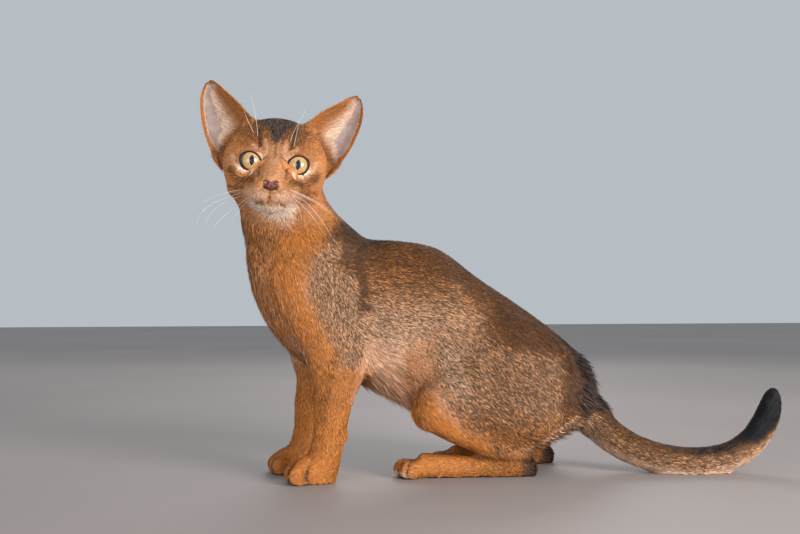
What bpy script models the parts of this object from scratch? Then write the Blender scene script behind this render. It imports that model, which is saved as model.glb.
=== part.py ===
"""Young shorthaired cat (Abyssinian type), a still life-size model.

The cat sits half upright on its hocks, forelegs straight, and looks out over its left side. It faces -X,
its left side is at -Y, and +Z is up. The soles and the resting part of the tail are flats at z = 0.
The body is modelled whole, to the tips of its short coat, and then parted into head, neck, trunk, legs
and tail by thin cuts. The origin is the centre of the bounding box, at the bottom.
"""

import math

import bmesh
import bpy
import numpy as np
from mathutils import Matrix, Vector

# ---------------------------------------------------------------- driving dimensions, in millimetres
MM = 0.001
GAP = 0.3                       # clearance that every cut leaves between two pieces
VOXEL = 1.8                     # grain of the body's skin before it is thinned
BODY_TRIANGLES = 3200           # the body's share of the triangles, before it is parted

WITHERS = (-20.0, 172.0)        # highest point of the back (x, z)
TAIL_ROOT = (150.0, 66.0)       # where the tail leaves the rump (x, z)
LEG_SPREAD_FORE = 23.0          # each foreleg's centre from the middle plane
LEG_SPREAD_TOE = 16.0           # each hind foot's toes from the middle plane
LEG_SPREAD_HEEL = 27.0          # each hind foot's heel from the middle plane
FORE_STEP = 8.0                 # the right forefoot stands this much further forward
HIND_STEP = 33.0                # the right hind foot stands this much further back

EYE_LINE = (-85.0, -36.0, 221.0)    # point between the two eyes
HEAD_YAW = 6.0                  # degrees the face turns from -Y towards -X
HEAD_PITCH = 8.6                # degrees the face looks up
HEAD_ROLL = 4.6                 # degrees the left side of the head is tipped down
EYE_SPACING = 32.0              # between the centres of the two eyeballs
EYE_RADIUS = 9.0
EYE_DEPTH = 7.2                 # eyeball's centre behind the eye line
NOSE_AT = (0.0, 21.3, -21.5)    # centre of the nose leather in the head (left, forward, up)
NOSE_RADII = (5.4, 4.4, 4.4)

EAR_INNER_EDGE = (              # right ear's edge nearer the crown, foot to tip (outward, forward, up)
    (13.0, -17.0, 25.0), (19.0, -17.0, 35.5), (28.0, -19.5, 45.5), (37.0, -22.0, 53.8), (43.8, -24.2, 59.6),
    (47.4, -25.5, 62.6), (50.2, -26.3, 63.8),
)
EAR_OUTER_EDGE = (              # the edge nearer the cheek, foot to tip
    (33.0, -17.0, -8.0), (40.0, -20.0, 1.0), (47.5, -25.0, 13.0), (53.0, -29.0, 27.0), (56.6, -29.5, 42.0),
    (56.6, -28.5, 54.0), (53.9, -27.2, 61.4),
)
EAR_THICKNESS = 1.8
EAR_CUP = 0.30                  # depth of the cup at its foot, as a share of its width
EAR_COLUMNS = 7
EAR_LEAN = {-1: 0.8, 1: 3.8}    # degrees each ear leans outward beyond the drawn edges


def clear_scene():
    for item in list(bpy.data.objects):
        bpy.data.objects.remove(item, do_unlink=True)


def vec(*numbers):
    """A point given in millimetres, as a vector in metres."""
    return Vector(numbers) * MM


# ---------------------------------------------------------------- shapes
def spline(rows, steps):
    """Points of a smooth curve through the rows of numbers, with a number of steps for each span."""
    data = np.array(rows, dtype=float)
    padded = np.vstack([2 * data[0] - data[1], data, 2 * data[-1] - data[-2]])
    points = []
    for i in range(len(data) - 1):
        p0, p1, p2, p3 = padded[i:i + 4]
        for k in range(steps):
            t = k / steps
            points.append(0.5 * (2 * p1 + (p2 - p0) * t + (2 * p0 - 5 * p1 + 4 * p2 - p3) * t ** 2
                                 + (3 * p1 - p0 - 3 * p2 + p3) * t ** 3))
    points.append(data[-1])
    return points


def loft(bm, sections, sides=28):
    """Skin a closed tube over sections, each a centre and two half-axes, and close its ends."""
    rings = []
    for centre, across, upright in sections:
        ring = []
        for k in range(sides):
            angle = 2 * math.pi * k / sides
            ring.append(bm.verts.new(centre + across * math.cos(angle) + upright * math.sin(angle)))
        rings.append(ring)
    for first, second in zip(rings, rings[1:]):
        for k in range(sides):
            n = (k + 1) % sides
            bm.faces.new((first[k], first[n], second[n], second[k]))
    bm.faces.new(list(reversed(rings[0])))
    bm.faces.new(rings[-1])


def slab_loft(bm, rows, steps=5):
    """A limb or trunk drawn from the side: rows of (edge x, z, other edge x, z, middle y, half width)."""
    sections = []
    for ax, az, bx, bz, y, half in spline(rows, steps):
        centre = vec((ax + bx) / 2, y, (az + bz) / 2)
        upright = vec((ax - bx) / 2, 0, (az - bz) / 2)
        sections.append((centre, vec(0, half, 0), upright))
    loft(bm, sections)


def pipe(bm, rows, steps=6, sides=20):
    """A round limb along a path: rows of (x, y, z, radius)."""
    points = spline(rows, steps)
    sections = []
    for i, point in enumerate(points):
        before = Vector(points[max(i - 1, 0)][:3])
        after = Vector(points[min(i + 1, len(points) - 1)][:3])
        along = (after - before).normalized()
        across = (Vector((0, 1, 0)) - along * along.y).normalized()
        upright = across.cross(along)
        sections.append((vec(*point[:3]), across * point[3] * MM, upright * point[3] * MM))
    loft(bm, sections, sides)


def ball(bm, centre, radii, frame=None, turn=(0, 0, 0), sides=24):
    """An ellipsoid, its centre and radii in millimetres, in the given frame, turned by degrees."""
    place = frame or Matrix.Identity(4)
    spin = Matrix.Identity(4)
    for angle, axis in zip(turn, "XYZ"):
        spin = Matrix.Rotation(math.radians(angle), 4, axis) @ spin
    matrix = place @ Matrix.Translation(vec(*centre)) @ spin @ Matrix.Diagonal((*[r * MM for r in radii], 1))
    bmesh.ops.create_uvsphere(bm, u_segments=sides, v_segments=2 * sides // 3, radius=1.0, matrix=matrix)


def head_frame():
    """The head's own axes: x to the cat's left, y forward out of the face, z up through the crown."""
    yaw = Matrix.Rotation(math.radians(180 - HEAD_YAW), 4, "Z")
    pitch = Matrix.Rotation(math.radians(HEAD_PITCH), 4, "X")
    roll = Matrix.Rotation(math.radians(HEAD_ROLL), 4, "Y")
    mirror = Matrix.Diagonal((-1, 1, 1, 1))
    return Matrix.Translation(vec(*EYE_LINE)) @ yaw @ pitch @ mirror @ roll


# ---------------------------------------------------------------- the body, part by part
def add_trunk(bm):
    rows = (  # back line x, z; belly line x, z; middle y; half width
        (-101.0, 158.0, -96.0, 132.0, 0.0, 9.0),
        (-98.0, 172.0, -86.0, 110.0, 0.0, 22.0),
        (-72.0, 186.0, -68.0, 88.0, 0.0, 30.0),
        (-46.0, 184.0, -46.0, 74.0, 0.0, 35.0),
        (WITHERS[0], WITHERS[1], -22.0, 68.0, 0.0, 37.0),
        (8.0, 170.5, 5.0, 56.0, 0.0, 39.0),
        (38.0, 165.0, 30.0, 42.0, 0.0, 42.0),
        (64.0, 146.0, 58.0, 32.0, 0.0, 43.0),
        (95.0, 126.0, 90.0, 24.0, 0.0, 44.0),
        (124.0, 105.5, 116.0, 23.0, 0.0, 42.0),
        (146.0, 86.0, 138.0, 32.0, 0.0, 31.0),
        (TAIL_ROOT[0] + 6, TAIL_ROOT[1], 150.0, 46.0, 0.0, 12.0),
    )
    slab_loft(bm, rows)


def add_neck(bm):
    rows = (  # throat x, z; nape x, z; middle y; half width
        (-92.0, 132.0, -12.0, 158.0, 0.0, 32.0),
        (-98.0, 150.0, -14.0, 169.0, 0.0, 33.0),
        (-101.0, 168.0, -28.0, 181.0, 0.0, 31.0),
        (-106.0, 186.0, -42.0, 195.0, -1.0, 29.0),
        (-107.0, 202.0, -50.0, 210.0, -4.0, 26.0),
    )
    slab_loft(bm, rows)


def add_head(bm):
    frame = head_frame()
    skull = (   # forward, top, bottom, half width
        (-60.0, 0.0, -22.0, 10.0),
        (-55.0, 18.0, -33.0, 24.0),
        (-43.0, 33.0, -36.0, 31.4),
        (-28.0, 39.0, -34.0, 35.5),
        (-16.0, 36.5, -30.5, 36.5),
        (-9.0, 30.0, -28.5, 33.0),
        (-5.0, 23.5, -26.5, 27.5),
        (-2.0, 15.0, -24.0, 19.5),
        (0.5, 7.0, -18.0, 9.5),
    )
    muzzle = (  # forward, top, bottom, half width
        (-18.0, 6.0, -30.0, 23.0),
        (-4.0, 7.0, -34.0, 20.0),
        (3.0, 4.0, -36.5, 16.0),
        (10.0, -3.5, -37.5, 13.2),
        (16.0, -10.5, -36.5, 12.2),
        (21.0, -16.0, -34.0, 10.5),
        (24.0, -20.0, -29.5, 6.5),
    )
    for rows in (skull, muzzle):
        sections = []
        for forward, top, bottom, half in spline(rows, 5):
            centre = frame @ vec(0, forward, (top + bottom) / 2)
            sections.append((centre, frame.to_3x3() @ vec(half, 0, 0), frame.to_3x3() @ vec(0, 0, (top - bottom) / 2)))
        loft(bm, sections)
    for side in (-1, 1):
        ball(bm, (side * 19, -9, -12), (13, 11, 10.5), frame)           # cheekbone
        ball(bm, (side * 18, -17, -15), (14.5, 15, 11.5), frame)        # cheek
        ball(bm, (side * 7.0, 13.5, -26), (8.2, 9.5, 7.4), frame)         # whisker pad
        ball(bm, (side * 15, -6.5, 9.5), (9, 5, 5), frame)              # brow


def add_foreleg(bm, side):
    step = FORE_STEP if side > 0 else 0.0
    y = side * LEG_SPREAD_FORE
    rows = (  # front x, z; back x, z; middle y; half width
        (-88.0, 150.0, -42.0, 166.0, side * 25.0, 7.0),
        (-87.0, 134.0, -30.0, 140.0, side * 26.0, 12.0),
        (-76.0, 112.0, -18.0, 110.0, side * 26.0, 14.0),
        (-64.0, 90.0, -17.0, 84.0, side * 25.0, 13.0),
        (-57.0, 68.0, -22.5, 68.0, side * 24.0, 11.5),
        (-57.0, 50.0, -29.5, 50.0, y, 10.5),
        (-57.0, 34.0, -33.0, 34.0, y, 10.3),
        (-59.5, 22.0, -35.5, 22.0, y, 10.5),
        (-64.0, 10.0, -38.0, 8.0, y, 10.5),
        (-64.0, -6.0, -42.0, -6.0, y, 9.5),
    )
    lower = 5
    rows = [(a - step * min(i / lower, 1), b, c - step * min(i / lower, 1), d, e, f)
            for i, (a, b, c, d, e, f) in enumerate(rows)]
    slab_loft(bm, rows)
    ball(bm, (-34.5 - step, y + side * 3, 32), (3.5, 4, 4.5))         # carpal pad
    ball(bm, (-58 - step, y, 8), (17, 12, 11))                        # paw
    for k in range(4):                                                # toes
        spread = (k - 1.5) * 6.4
        reach = 4.0 * math.cos((k - 1.5) * 0.75)
        ball(bm, (-65 - step - reach, y + spread, 6.5), (9.0, 4.3, 8.0), turn=(0, 0, -(k - 1.5) * 7))


def add_hindleg(bm, side):
    step = HIND_STEP if side > 0 else 0.0
    toe_y = side * LEG_SPREAD_TOE
    heel_y = side * LEG_SPREAD_HEEL
    ball(bm, (86 + step * 0.2, side * 27, 78), (50, 25, 37), turn=(0, 35, 0))           # thigh, upper mass
    ball(bm, (56 + step * 0.6, side * 31, 64), (42, 19, 30), turn=(0, -38, 0))          # thigh, towards the knee
    ball(bm, (86 + step * 0.5, side * 30, 50), (40, 20, 29), turn=(0, 12, 0))           # calf under the thigh
    ball(bm, (26 + step * 0.8, side * 34, 52), (15, 14, 17), turn=(0, 20, 0))           # knee
    shank = (  # x, y, z, radius
        (26 + step * 0.8, side * 33, 46, 12),
        (48 + step * 0.85, side * 31, 36, 13),
        (76 + step, side * 29, 24, 11.5),
        (96 + step, heel_y, 12, 8.5),
    )
    pipe(bm, shank)
    foot = (  # x, y, z, radius
        (97 + step, heel_y, 6.8, 8.5),
        (84 + step, heel_y - side * 2, 6.5, 8.6),
        (60 + step, (toe_y + heel_y) / 2, 7.0, 8.6),
        (36 + step, toe_y + side * 3, 8.0, 9.2),
        (20 + step, toe_y, 8.5, 9.5),
    )
    pipe(bm, foot)
    ball(bm, (99.5 + step, heel_y, 5.5), (7.5, 7.5, 8))               # heel
    turn = math.degrees(math.atan2(heel_y - toe_y, 80))
    for k in range(4):                                                # toes
        spread = (k - 1.5) * 5.6
        reach = 3.5 * math.cos((k - 1.5) * 0.75)
        ball(bm, (14 + step - reach, toe_y + spread, 6.0), (9.5, 3.9, 7.6), turn=(0, 0, turn))


def add_tail(bm):
    rows = (  # x, y, z, radius
        (128.0, 0.0, 72.0, 14.0),
        (141.0, 0.0, 62.0, 14.4),
        (150.0, -4.0, 47.0, 13.6),
        (160.0, -13.0, 32.0, 12.8),
        (176.0, -25.0, 18.5, 12.0),
        (198.0, -36.0, 10.5, 11.4),
        (222.0, -42.0, 8.2, 11.2),
        (245.0, -45.0, 11.0, 11.0),
        (263.5, -46.0, 20.5, 10.6),
        (275.0, -45.0, 33.0, 10.0),
        (281.5, -44.0, 45.0, 9.0),
        (284.5, -43.0, 55.0, 7.2),
        (286.0, -43.0, 62.5, 3.2),
    )
    pipe(bm, rows)


# ---------------------------------------------------------------- from shapes to solids
def new_object(name, mesh):
    item = bpy.data.objects.new(name, mesh)
    bpy.context.scene.collection.objects.link(item)
    return item


def mesh_from(bm, name):
    bmesh.ops.recalc_face_normals(bm, faces=bm.faces)
    mesh = bpy.data.meshes.new(name)
    bm.to_mesh(mesh)
    bm.free()
    return mesh


def evaluated(item):
    """The object's mesh as its modifiers leave it, with the modifiers gone."""
    graph = bpy.context.evaluated_depsgraph_get()
    mesh = bpy.data.meshes.new_from_object(item.evaluated_get(graph))
    old = item.data
    item.modifiers.clear()
    item.data = mesh
    bpy.data.meshes.remove(old)


def make_body():
    bm = bmesh.new()
    add_trunk(bm)
    add_neck(bm)
    add_head(bm)
    for side in (-1, 1):
        add_foreleg(bm, side)
        add_hindleg(bm, side)
    add_tail(bm)
    body = new_object("body", mesh_from(bm, "body"))

    remesh = body.modifiers.new("one skin", "REMESH")
    remesh.mode = "VOXEL"
    remesh.voxel_size = VOXEL * MM
    smooth = body.modifiers.new("soften", "SMOOTH")
    smooth.factor = 0.5
    smooth.iterations = 5
    evaluated(body)

    thin = body.modifiers.new("thin", "DECIMATE")
    thin.ratio = BODY_TRIANGLES / (2 * len(body.data.polygons))
    evaluated(body)

    bm = bmesh.new()
    bm.from_mesh(body.data)
    everything = bm.verts[:] + bm.edges[:] + bm.faces[:]
    bmesh.ops.bisect_plane(bm, geom=everything, dist=1e-7, plane_co=(0, 0, 0), plane_no=(0, 0, -1), clear_outer=True)
    bmesh.ops.holes_fill(bm, edges=[e for e in bm.edges if e.is_boundary])
    bmesh.ops.triangulate(bm, faces=bm.faces)
    bm.to_mesh(body.data)
    bm.free()
    return body


# ---------------------------------------------------------------- ears
def ear_mesh(side):
    """A cupped ear of even thickness: its opening faces forward and outward, and its foot is in the head."""
    frame = head_frame()
    lean = EAR_LEAN[side]
    turn = Matrix.Translation(vec(side * 30, -24, 14)) @ Matrix.Rotation(math.radians(side * lean), 4, "Y")
    frame = frame @ turn @ Matrix.Translation(vec(-side * 30, 24, -14))
    inner = spline(EAR_INNER_EDGE, 2)
    outer = spline(EAR_OUTER_EDGE, 2)
    count = len(inner)
    grids = []
    for wall in (0.0, EAR_THICKNESS):
        rows = []
        for i, (a, b) in enumerate(zip(inner, outer)):
            first = Vector((side * a[0], a[1], a[2]))
            last = Vector((side * b[0], b[1], b[2]))
            up = Vector((side * (inner[min(i + 1, count - 1)][0] - inner[max(i - 1, 0)][0]), 0, 10.0)).normalized()
            across = last - first
            width = across.length
            opening = across.cross(up) * side
            opening.normalize()
            if opening.y < 0:
                opening.negate()
            share = 1 - i / (count - 1)
            depth = width * (EAR_CUP * share ** 0.7 + 0.12) + (EAR_THICKNESS - wall)
            inset = wall * 0.35 / max(width, 1.0)
            row = []
            for k in range(EAR_COLUMNS + 1):
                t = -1 + 2 * k / EAR_COLUMNS
                bulge = (1 - abs(t) ** 2.4)
                middle = (first + last) / 2 + across * (t / 2) * (1 - 2 * inset)
                row.append(middle - opening * depth * bulge + opening * (wall * 0.25))
            rows.append(row)
        grids.append(rows)
    bm = bmesh.new()
    sheets = [[[bm.verts.new(frame @ (p * MM)) for p in row] for row in grid] for grid in grids]
    back, front = sheets
    for i in range(count - 1):
        for k in range(EAR_COLUMNS):
            bm.faces.new((back[i][k], back[i][k + 1], back[i + 1][k + 1], back[i + 1][k]))
            bm.faces.new((front[i][k], front[i + 1][k], front[i + 1][k + 1], front[i][k + 1]))
    for i in range(count - 1):
        for k in (0, EAR_COLUMNS):
            bm.faces.new((back[i][k], back[i + 1][k], front[i + 1][k], front[i][k]))
    for i in (0, count - 1):
        for k in range(EAR_COLUMNS):
            bm.faces.new((back[i][k], back[i][k + 1], front[i][k + 1], front[i][k]))
    bmesh.ops.triangulate(bm, faces=bm.faces)
    return mesh_from(bm, "ear")


# ---------------------------------------------------------------- cutting and parting
def shape_object(build):
    bm = bmesh.new()
    build(bm)
    return new_object("cutter", mesh_from(bm, "cutter"))


def subtract(item, cutter, keep_cutter=False):
    cut = item.modifiers.new("cut", "BOOLEAN")
    cut.operation = "DIFFERENCE"
    cut.solver = "EXACT"
    cut.object = cutter
    evaluated(item)
    if not keep_cutter:
        bpy.data.objects.remove(cutter, do_unlink=True)


def plate(centre, along, across, length, width):
    """A thin flat cutter: its centre, its two directions and its size in millimetres."""
    first = Vector(along).normalized()
    second = Vector(across).normalized()
    normal = first.cross(second).normalized()
    turn = Matrix((first, second, normal)).transposed().to_4x4()
    size = Matrix.Diagonal((length * MM, width * MM, GAP * MM, 1))
    matrix = Matrix.Translation(vec(*centre)) @ turn @ size
    return shape_object(lambda bm: bmesh.ops.create_cube(bm, size=1.0, matrix=matrix))


def shell(draw):
    """A hollow cutter with a wall as thin as the gap: it frees the piece of the body inside it."""
    outer = bmesh.new()
    draw(outer, 0.0)
    bmesh.ops.recalc_face_normals(outer, faces=outer.faces)
    inner = bmesh.new()
    draw(inner, GAP)
    bmesh.ops.recalc_face_normals(inner, faces=inner.faces)
    bmesh.ops.reverse_faces(inner, faces=inner.faces)
    lining = bpy.data.meshes.new("lining")
    inner.to_mesh(lining)
    inner.free()
    outer.from_mesh(lining)
    bpy.data.meshes.remove(lining)
    mesh = bpy.data.meshes.new("shell")
    outer.to_mesh(mesh)
    outer.free()
    return new_object("cutter", mesh)


def shoulder_shell(side):
    """Round the shoulder blade and upper arm, down to just under the elbow."""
    step = FORE_STEP if side > 0 else 0.0
    rows = ((-41 - step, 25, 66, 22), (-43 - step, 27, 88, 22), (-53, 34, 118, 24), (-48, 40, 146, 20), (-45, 43, 158, 6))

    def draw(bm, inset):
        lift = [inset] + [0.0] * (len(rows) - 2) + [-inset]
        path = [(x, side * y, z + rise, r - inset) for (x, y, z, r), rise in zip(rows, lift)]
        pipe(bm, path, 2, 12)
    return shell(draw)


def thigh_shell(side):
    """Round the thigh, the knee and the calf."""
    step = HIND_STEP * 0.35 if side > 0 else 0.0
    return shell(lambda bm, inset: ball(bm, (66 + step, side * 34, 70.5), (68 - inset, 31 - inset, 51 - inset),
                                        turn=(0, 3, 0), sides=12))


def cut_body(body):
    frame = head_frame()
    turn = frame.to_3x3()
    head_cut = frame @ vec(0, -28, -29)
    subtract(body, plate([c / MM for c in head_cut], turn @ Vector((0, 0.91, -0.42)), turn @ Vector((1, 0, 0)), 116, 100))
    subtract(body, plate((-60, 0, 164.5), (80, 0, 18), (0, 1, 0), 100, 100))
    subtract(body, plate((-60, 0, 22), (1, 0, 0), (0, 1, 0), 80, 100))
    for side in (-1, 1):
        step = HIND_STEP if side > 0 else 0.0
        subtract(body, shoulder_shell(side))
        subtract(body, thigh_shell(side))
        subtract(body, plate((80 + step, side * 30, 18.7), (1, 0, 0), (0, 1, 0), 70, 56))
    subtract(body, plate((155, -9, 39), (0.83, 0, 0.555), (-0.25, -0.9, 0.37), 36, 44))
    subtract(body, plate((188, -31, 14), (0, 0, 1), (0.5, 0.86, 0), 60, 60))
    subtract(body, plate((258, -46, 17), (-0.5, 0, 0.86), (0, 1, 0), 60, 60))


def islands(mesh):
    """The mesh's separate closed pieces, each as a bmesh with its volume and middle."""
    bm = bmesh.new()
    bm.from_mesh(mesh)
    bmesh.ops.remove_doubles(bm, verts=bm.verts, dist=1e-7)
    bm.faces.ensure_lookup_table()
    seen = set()
    groups = []
    for face in bm.faces:
        if face.index in seen:
            continue
        group = []
        stack = [face]
        seen.add(face.index)
        while stack:
            current = stack.pop()
            group.append(current)
            for edge in current.edges:
                for other in edge.link_faces:
                    if other.index not in seen:
                        seen.add(other.index)
                        stack.append(other)
        groups.append(group)
    pieces = []
    for group in groups:
        piece = bmesh.new()
        table = {}
        for face in group:
            corners = []
            for vertex in face.verts:
                if vertex.index not in table:
                    table[vertex.index] = piece.verts.new(vertex.co)
                corners.append(table[vertex.index])
            piece.faces.new(corners)
        bmesh.ops.triangulate(piece, faces=piece.faces)
        middle = sum((v.co for v in piece.verts), Vector()) / len(piece.verts)
        pieces.append((piece, piece.calc_volume(), middle))
    bm.free()
    return pieces


# ---------------------------------------------------------------- colours
COATS = {   # name: (colour, roughness)
    "ticked back": ((0.23, 0.12, 0.06), 0.75),
    "ruddy": ((0.50, 0.20, 0.06), 0.7),
    "ear": ((0.55, 0.30, 0.18), 0.7),
    "tail": ((0.20, 0.11, 0.06), 0.75),
    "tail tip": ((0.03, 0.025, 0.025), 0.7),
    "eye": ((0.60, 0.36, 0.08), 0.05),
    "nose leather": ((0.33, 0.11, 0.08), 0.45),
}


def material(name):
    found = bpy.data.materials.get(name)
    if found:
        return found
    colour, roughness = COATS[name]
    made = bpy.data.materials.new(name)
    made.use_nodes = True
    shader = made.node_tree.nodes["Principled BSDF"]
    shader.inputs["Base Color"].default_value = (*colour, 1)
    shader.inputs["Roughness"].default_value = roughness
    shader.inputs["Metallic"].default_value = 0.0
    made.diffuse_color = (*colour, 1)
    return made


def finish(item, coat):
    item.data.materials.clear()
    item.data.materials.append(material(coat))
    item.data.shade_smooth()
    item.data.set_sharp_from_angle(angle=math.radians(50))


# ---------------------------------------------------------------- the nodes
PIECES = (   # name, a point near its middle, coat
    ("head", (-82, -20, 220), "ruddy"),
    ("neck", (-70, 0, 180), "ruddy"),
    ("trunk", (38, -2, 81), "ticked back"),
    ("shoulder_left", (-48, -28, 105), "ruddy"),
    ("shoulder_right", (-50, 28, 105), "ruddy"),
    ("foreleg_left", (-44, -23, 45), "ruddy"),
    ("foreleg_right", (-51, 24, 47), "ruddy"),
    ("forepaw_left", (-59, -23, 10), "ruddy"),
    ("forepaw_right", (-67, 23, 10), "ruddy"),
    ("thigh_left", (66, -39, 65), "ticked back"),
    ("thigh_right", (80, 38, 65), "ticked back"),
    ("hind_foot_left", (49, -21, 9), "ruddy"),
    ("hind_foot_right", (83, 21, 9), "ruddy"),
    ("tail_base", (170, -22, 26), "tail"),
    ("tail_middle", (221, -40, 12), "tail"),
    ("tail_tip", (272, -45, 33), "tail tip"),
)


def part_body(body):
    """Turn each separate piece of the cut body into an object of its own."""
    nodes = {}
    found = sorted(islands(body.data), key=lambda piece: -piece[1])
    for name, near, coat in PIECES:
        best = min(found, key=lambda piece: (piece[2] - vec(*near)).length + 1000 * (piece[1] < 1e-7))
        found.remove(best)
        mesh = bpy.data.meshes.new(name)
        bmesh.ops.dissolve_limit(best[0], angle_limit=math.radians(0.5), verts=best[0].verts, edges=best[0].edges)
        bmesh.ops.triangulate(best[0], faces=best[0].faces)
        best[0].to_mesh(mesh)
        nodes[name] = new_object(name, mesh)
        finish(nodes[name], coat)
    bpy.data.objects.remove(body, do_unlink=True)
    return nodes


def keep_largest(item):
    pieces = sorted(islands(item.data), key=lambda piece: piece[1])
    pieces[-1][0].to_mesh(item.data)


def ball_object(name, centre, radii, frame, sides=15):
    bm = bmesh.new()
    ball(bm, centre, radii, frame, sides=sides)
    bmesh.ops.triangulate(bm, faces=bm.faces)
    return new_object(name, mesh_from(bm, name))


def add_eyes_and_nose(head):
    frame = head_frame()
    for side, name in ((-1, "eye_right"), (1, "eye_left")):
        centre = (side * EYE_SPACING / 2, -EYE_DEPTH, 0)
        subtract(head, ball_object("socket", centre, [EYE_RADIUS + GAP] * 3, frame))
        finish(ball_object(name, centre, [EYE_RADIUS] * 3, frame), "eye")
    subtract(head, ball_object("socket", NOSE_AT, [r + GAP for r in NOSE_RADII], frame))
    keep_largest(head)
    finish(head, "ruddy")
    finish(ball_object("nose", NOSE_AT, NOSE_RADII, frame), "nose leather")


def add_ears(head):
    """The ears, each cut off where it meets the head, a gap above its surface."""
    grown = new_object("grown head", head.data.copy())
    for vertex in grown.data.vertices:
        vertex.co += vertex.normal * GAP * 1.3 * MM
    for side, name in ((-1, "ear_right"), (1, "ear_left")):
        ear = new_object(name, ear_mesh(side))
        subtract(ear, grown, keep_cutter=True)
        keep_largest(ear)
        finish(ear, "ear")
    bpy.data.objects.remove(grown, do_unlink=True)


def centre_on_floor():
    """Move everything so that the origin is the middle of the bounding box, at its bottom."""
    corners = np.array([v.co for item in bpy.data.objects for v in item.data.vertices])
    low, high = corners.min(axis=0), corners.max(axis=0)
    shift = Vector((-(low[0] + high[0]) / 2, -(low[1] + high[1]) / 2, -low[2]))
    for item in bpy.data.objects:
        item.data.transform(Matrix.Translation(shift))
    return shift


clear_scene()
body = make_body()
cut_body(body)
nodes = part_body(body)
add_ears(nodes["head"])
add_eyes_and_nose(nodes["head"])
SHIFT = centre_on_floor()
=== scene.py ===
import math

import bmesh
import bpy
import numpy as np
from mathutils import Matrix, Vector
from mathutils.bvhtree import BVHTree
from mathutils.kdtree import KDTree


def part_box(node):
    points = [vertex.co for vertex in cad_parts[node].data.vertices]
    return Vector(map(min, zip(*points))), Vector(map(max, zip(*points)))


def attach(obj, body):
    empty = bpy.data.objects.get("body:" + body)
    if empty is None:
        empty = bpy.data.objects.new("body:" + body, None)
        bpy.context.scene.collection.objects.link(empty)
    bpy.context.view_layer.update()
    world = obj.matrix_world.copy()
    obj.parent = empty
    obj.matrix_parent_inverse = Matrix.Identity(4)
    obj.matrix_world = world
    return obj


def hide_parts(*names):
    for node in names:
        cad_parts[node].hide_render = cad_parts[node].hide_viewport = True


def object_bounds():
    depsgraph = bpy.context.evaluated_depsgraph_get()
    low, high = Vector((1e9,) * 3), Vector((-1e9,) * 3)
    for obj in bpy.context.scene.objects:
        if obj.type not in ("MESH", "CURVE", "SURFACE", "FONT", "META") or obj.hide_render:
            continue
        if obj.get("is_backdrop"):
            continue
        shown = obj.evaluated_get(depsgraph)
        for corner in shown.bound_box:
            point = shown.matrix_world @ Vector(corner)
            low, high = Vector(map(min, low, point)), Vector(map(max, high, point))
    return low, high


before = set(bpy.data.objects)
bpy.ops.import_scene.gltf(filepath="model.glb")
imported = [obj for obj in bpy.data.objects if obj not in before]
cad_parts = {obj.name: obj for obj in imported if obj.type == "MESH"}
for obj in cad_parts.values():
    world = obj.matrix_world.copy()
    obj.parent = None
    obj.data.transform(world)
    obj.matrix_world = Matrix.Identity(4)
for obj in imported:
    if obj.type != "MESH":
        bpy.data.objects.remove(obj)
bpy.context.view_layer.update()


# ---------------------------------------------------------------- the studio
# A plain pale floor under an even pale sky. One wide soft lamp stands low on the camera's right, a weaker one
# on its left, and a third behind the cat lights the edges of ears and back. None of it is part of the model.
MM = 0.001
CAMERA_PLACE = (-0.22395, -0.72627, 0.128)
CAMERA_TURN = -12.0             # degrees the camera looks to the right of +Y
CAMERA_LIFT = 1.737             # degrees it looks up
LENS = 46.0
FLOOR_REACH = 4.0
SKY = (0.47, 0.51, 0.55)
LAMPS = (   # name, place, what it faces, size, watts, colour
    ("key", (0.72, -1.12, 0.46), (-0.08, 0.0, 0.12), 0.7, 27.0, (1.0, 0.96, 0.91)),
    ("fill", (-0.90, -1.10, 0.28), (-0.12, 0.0, 0.14), 0.9, 9.0, (1.0, 0.97, 0.93)),
    ("edge", (0.30, 1.10, 0.85), (-0.05, 0.0, 0.15), 0.7, 5.0, (1.0, 0.98, 0.95)),
)


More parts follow.
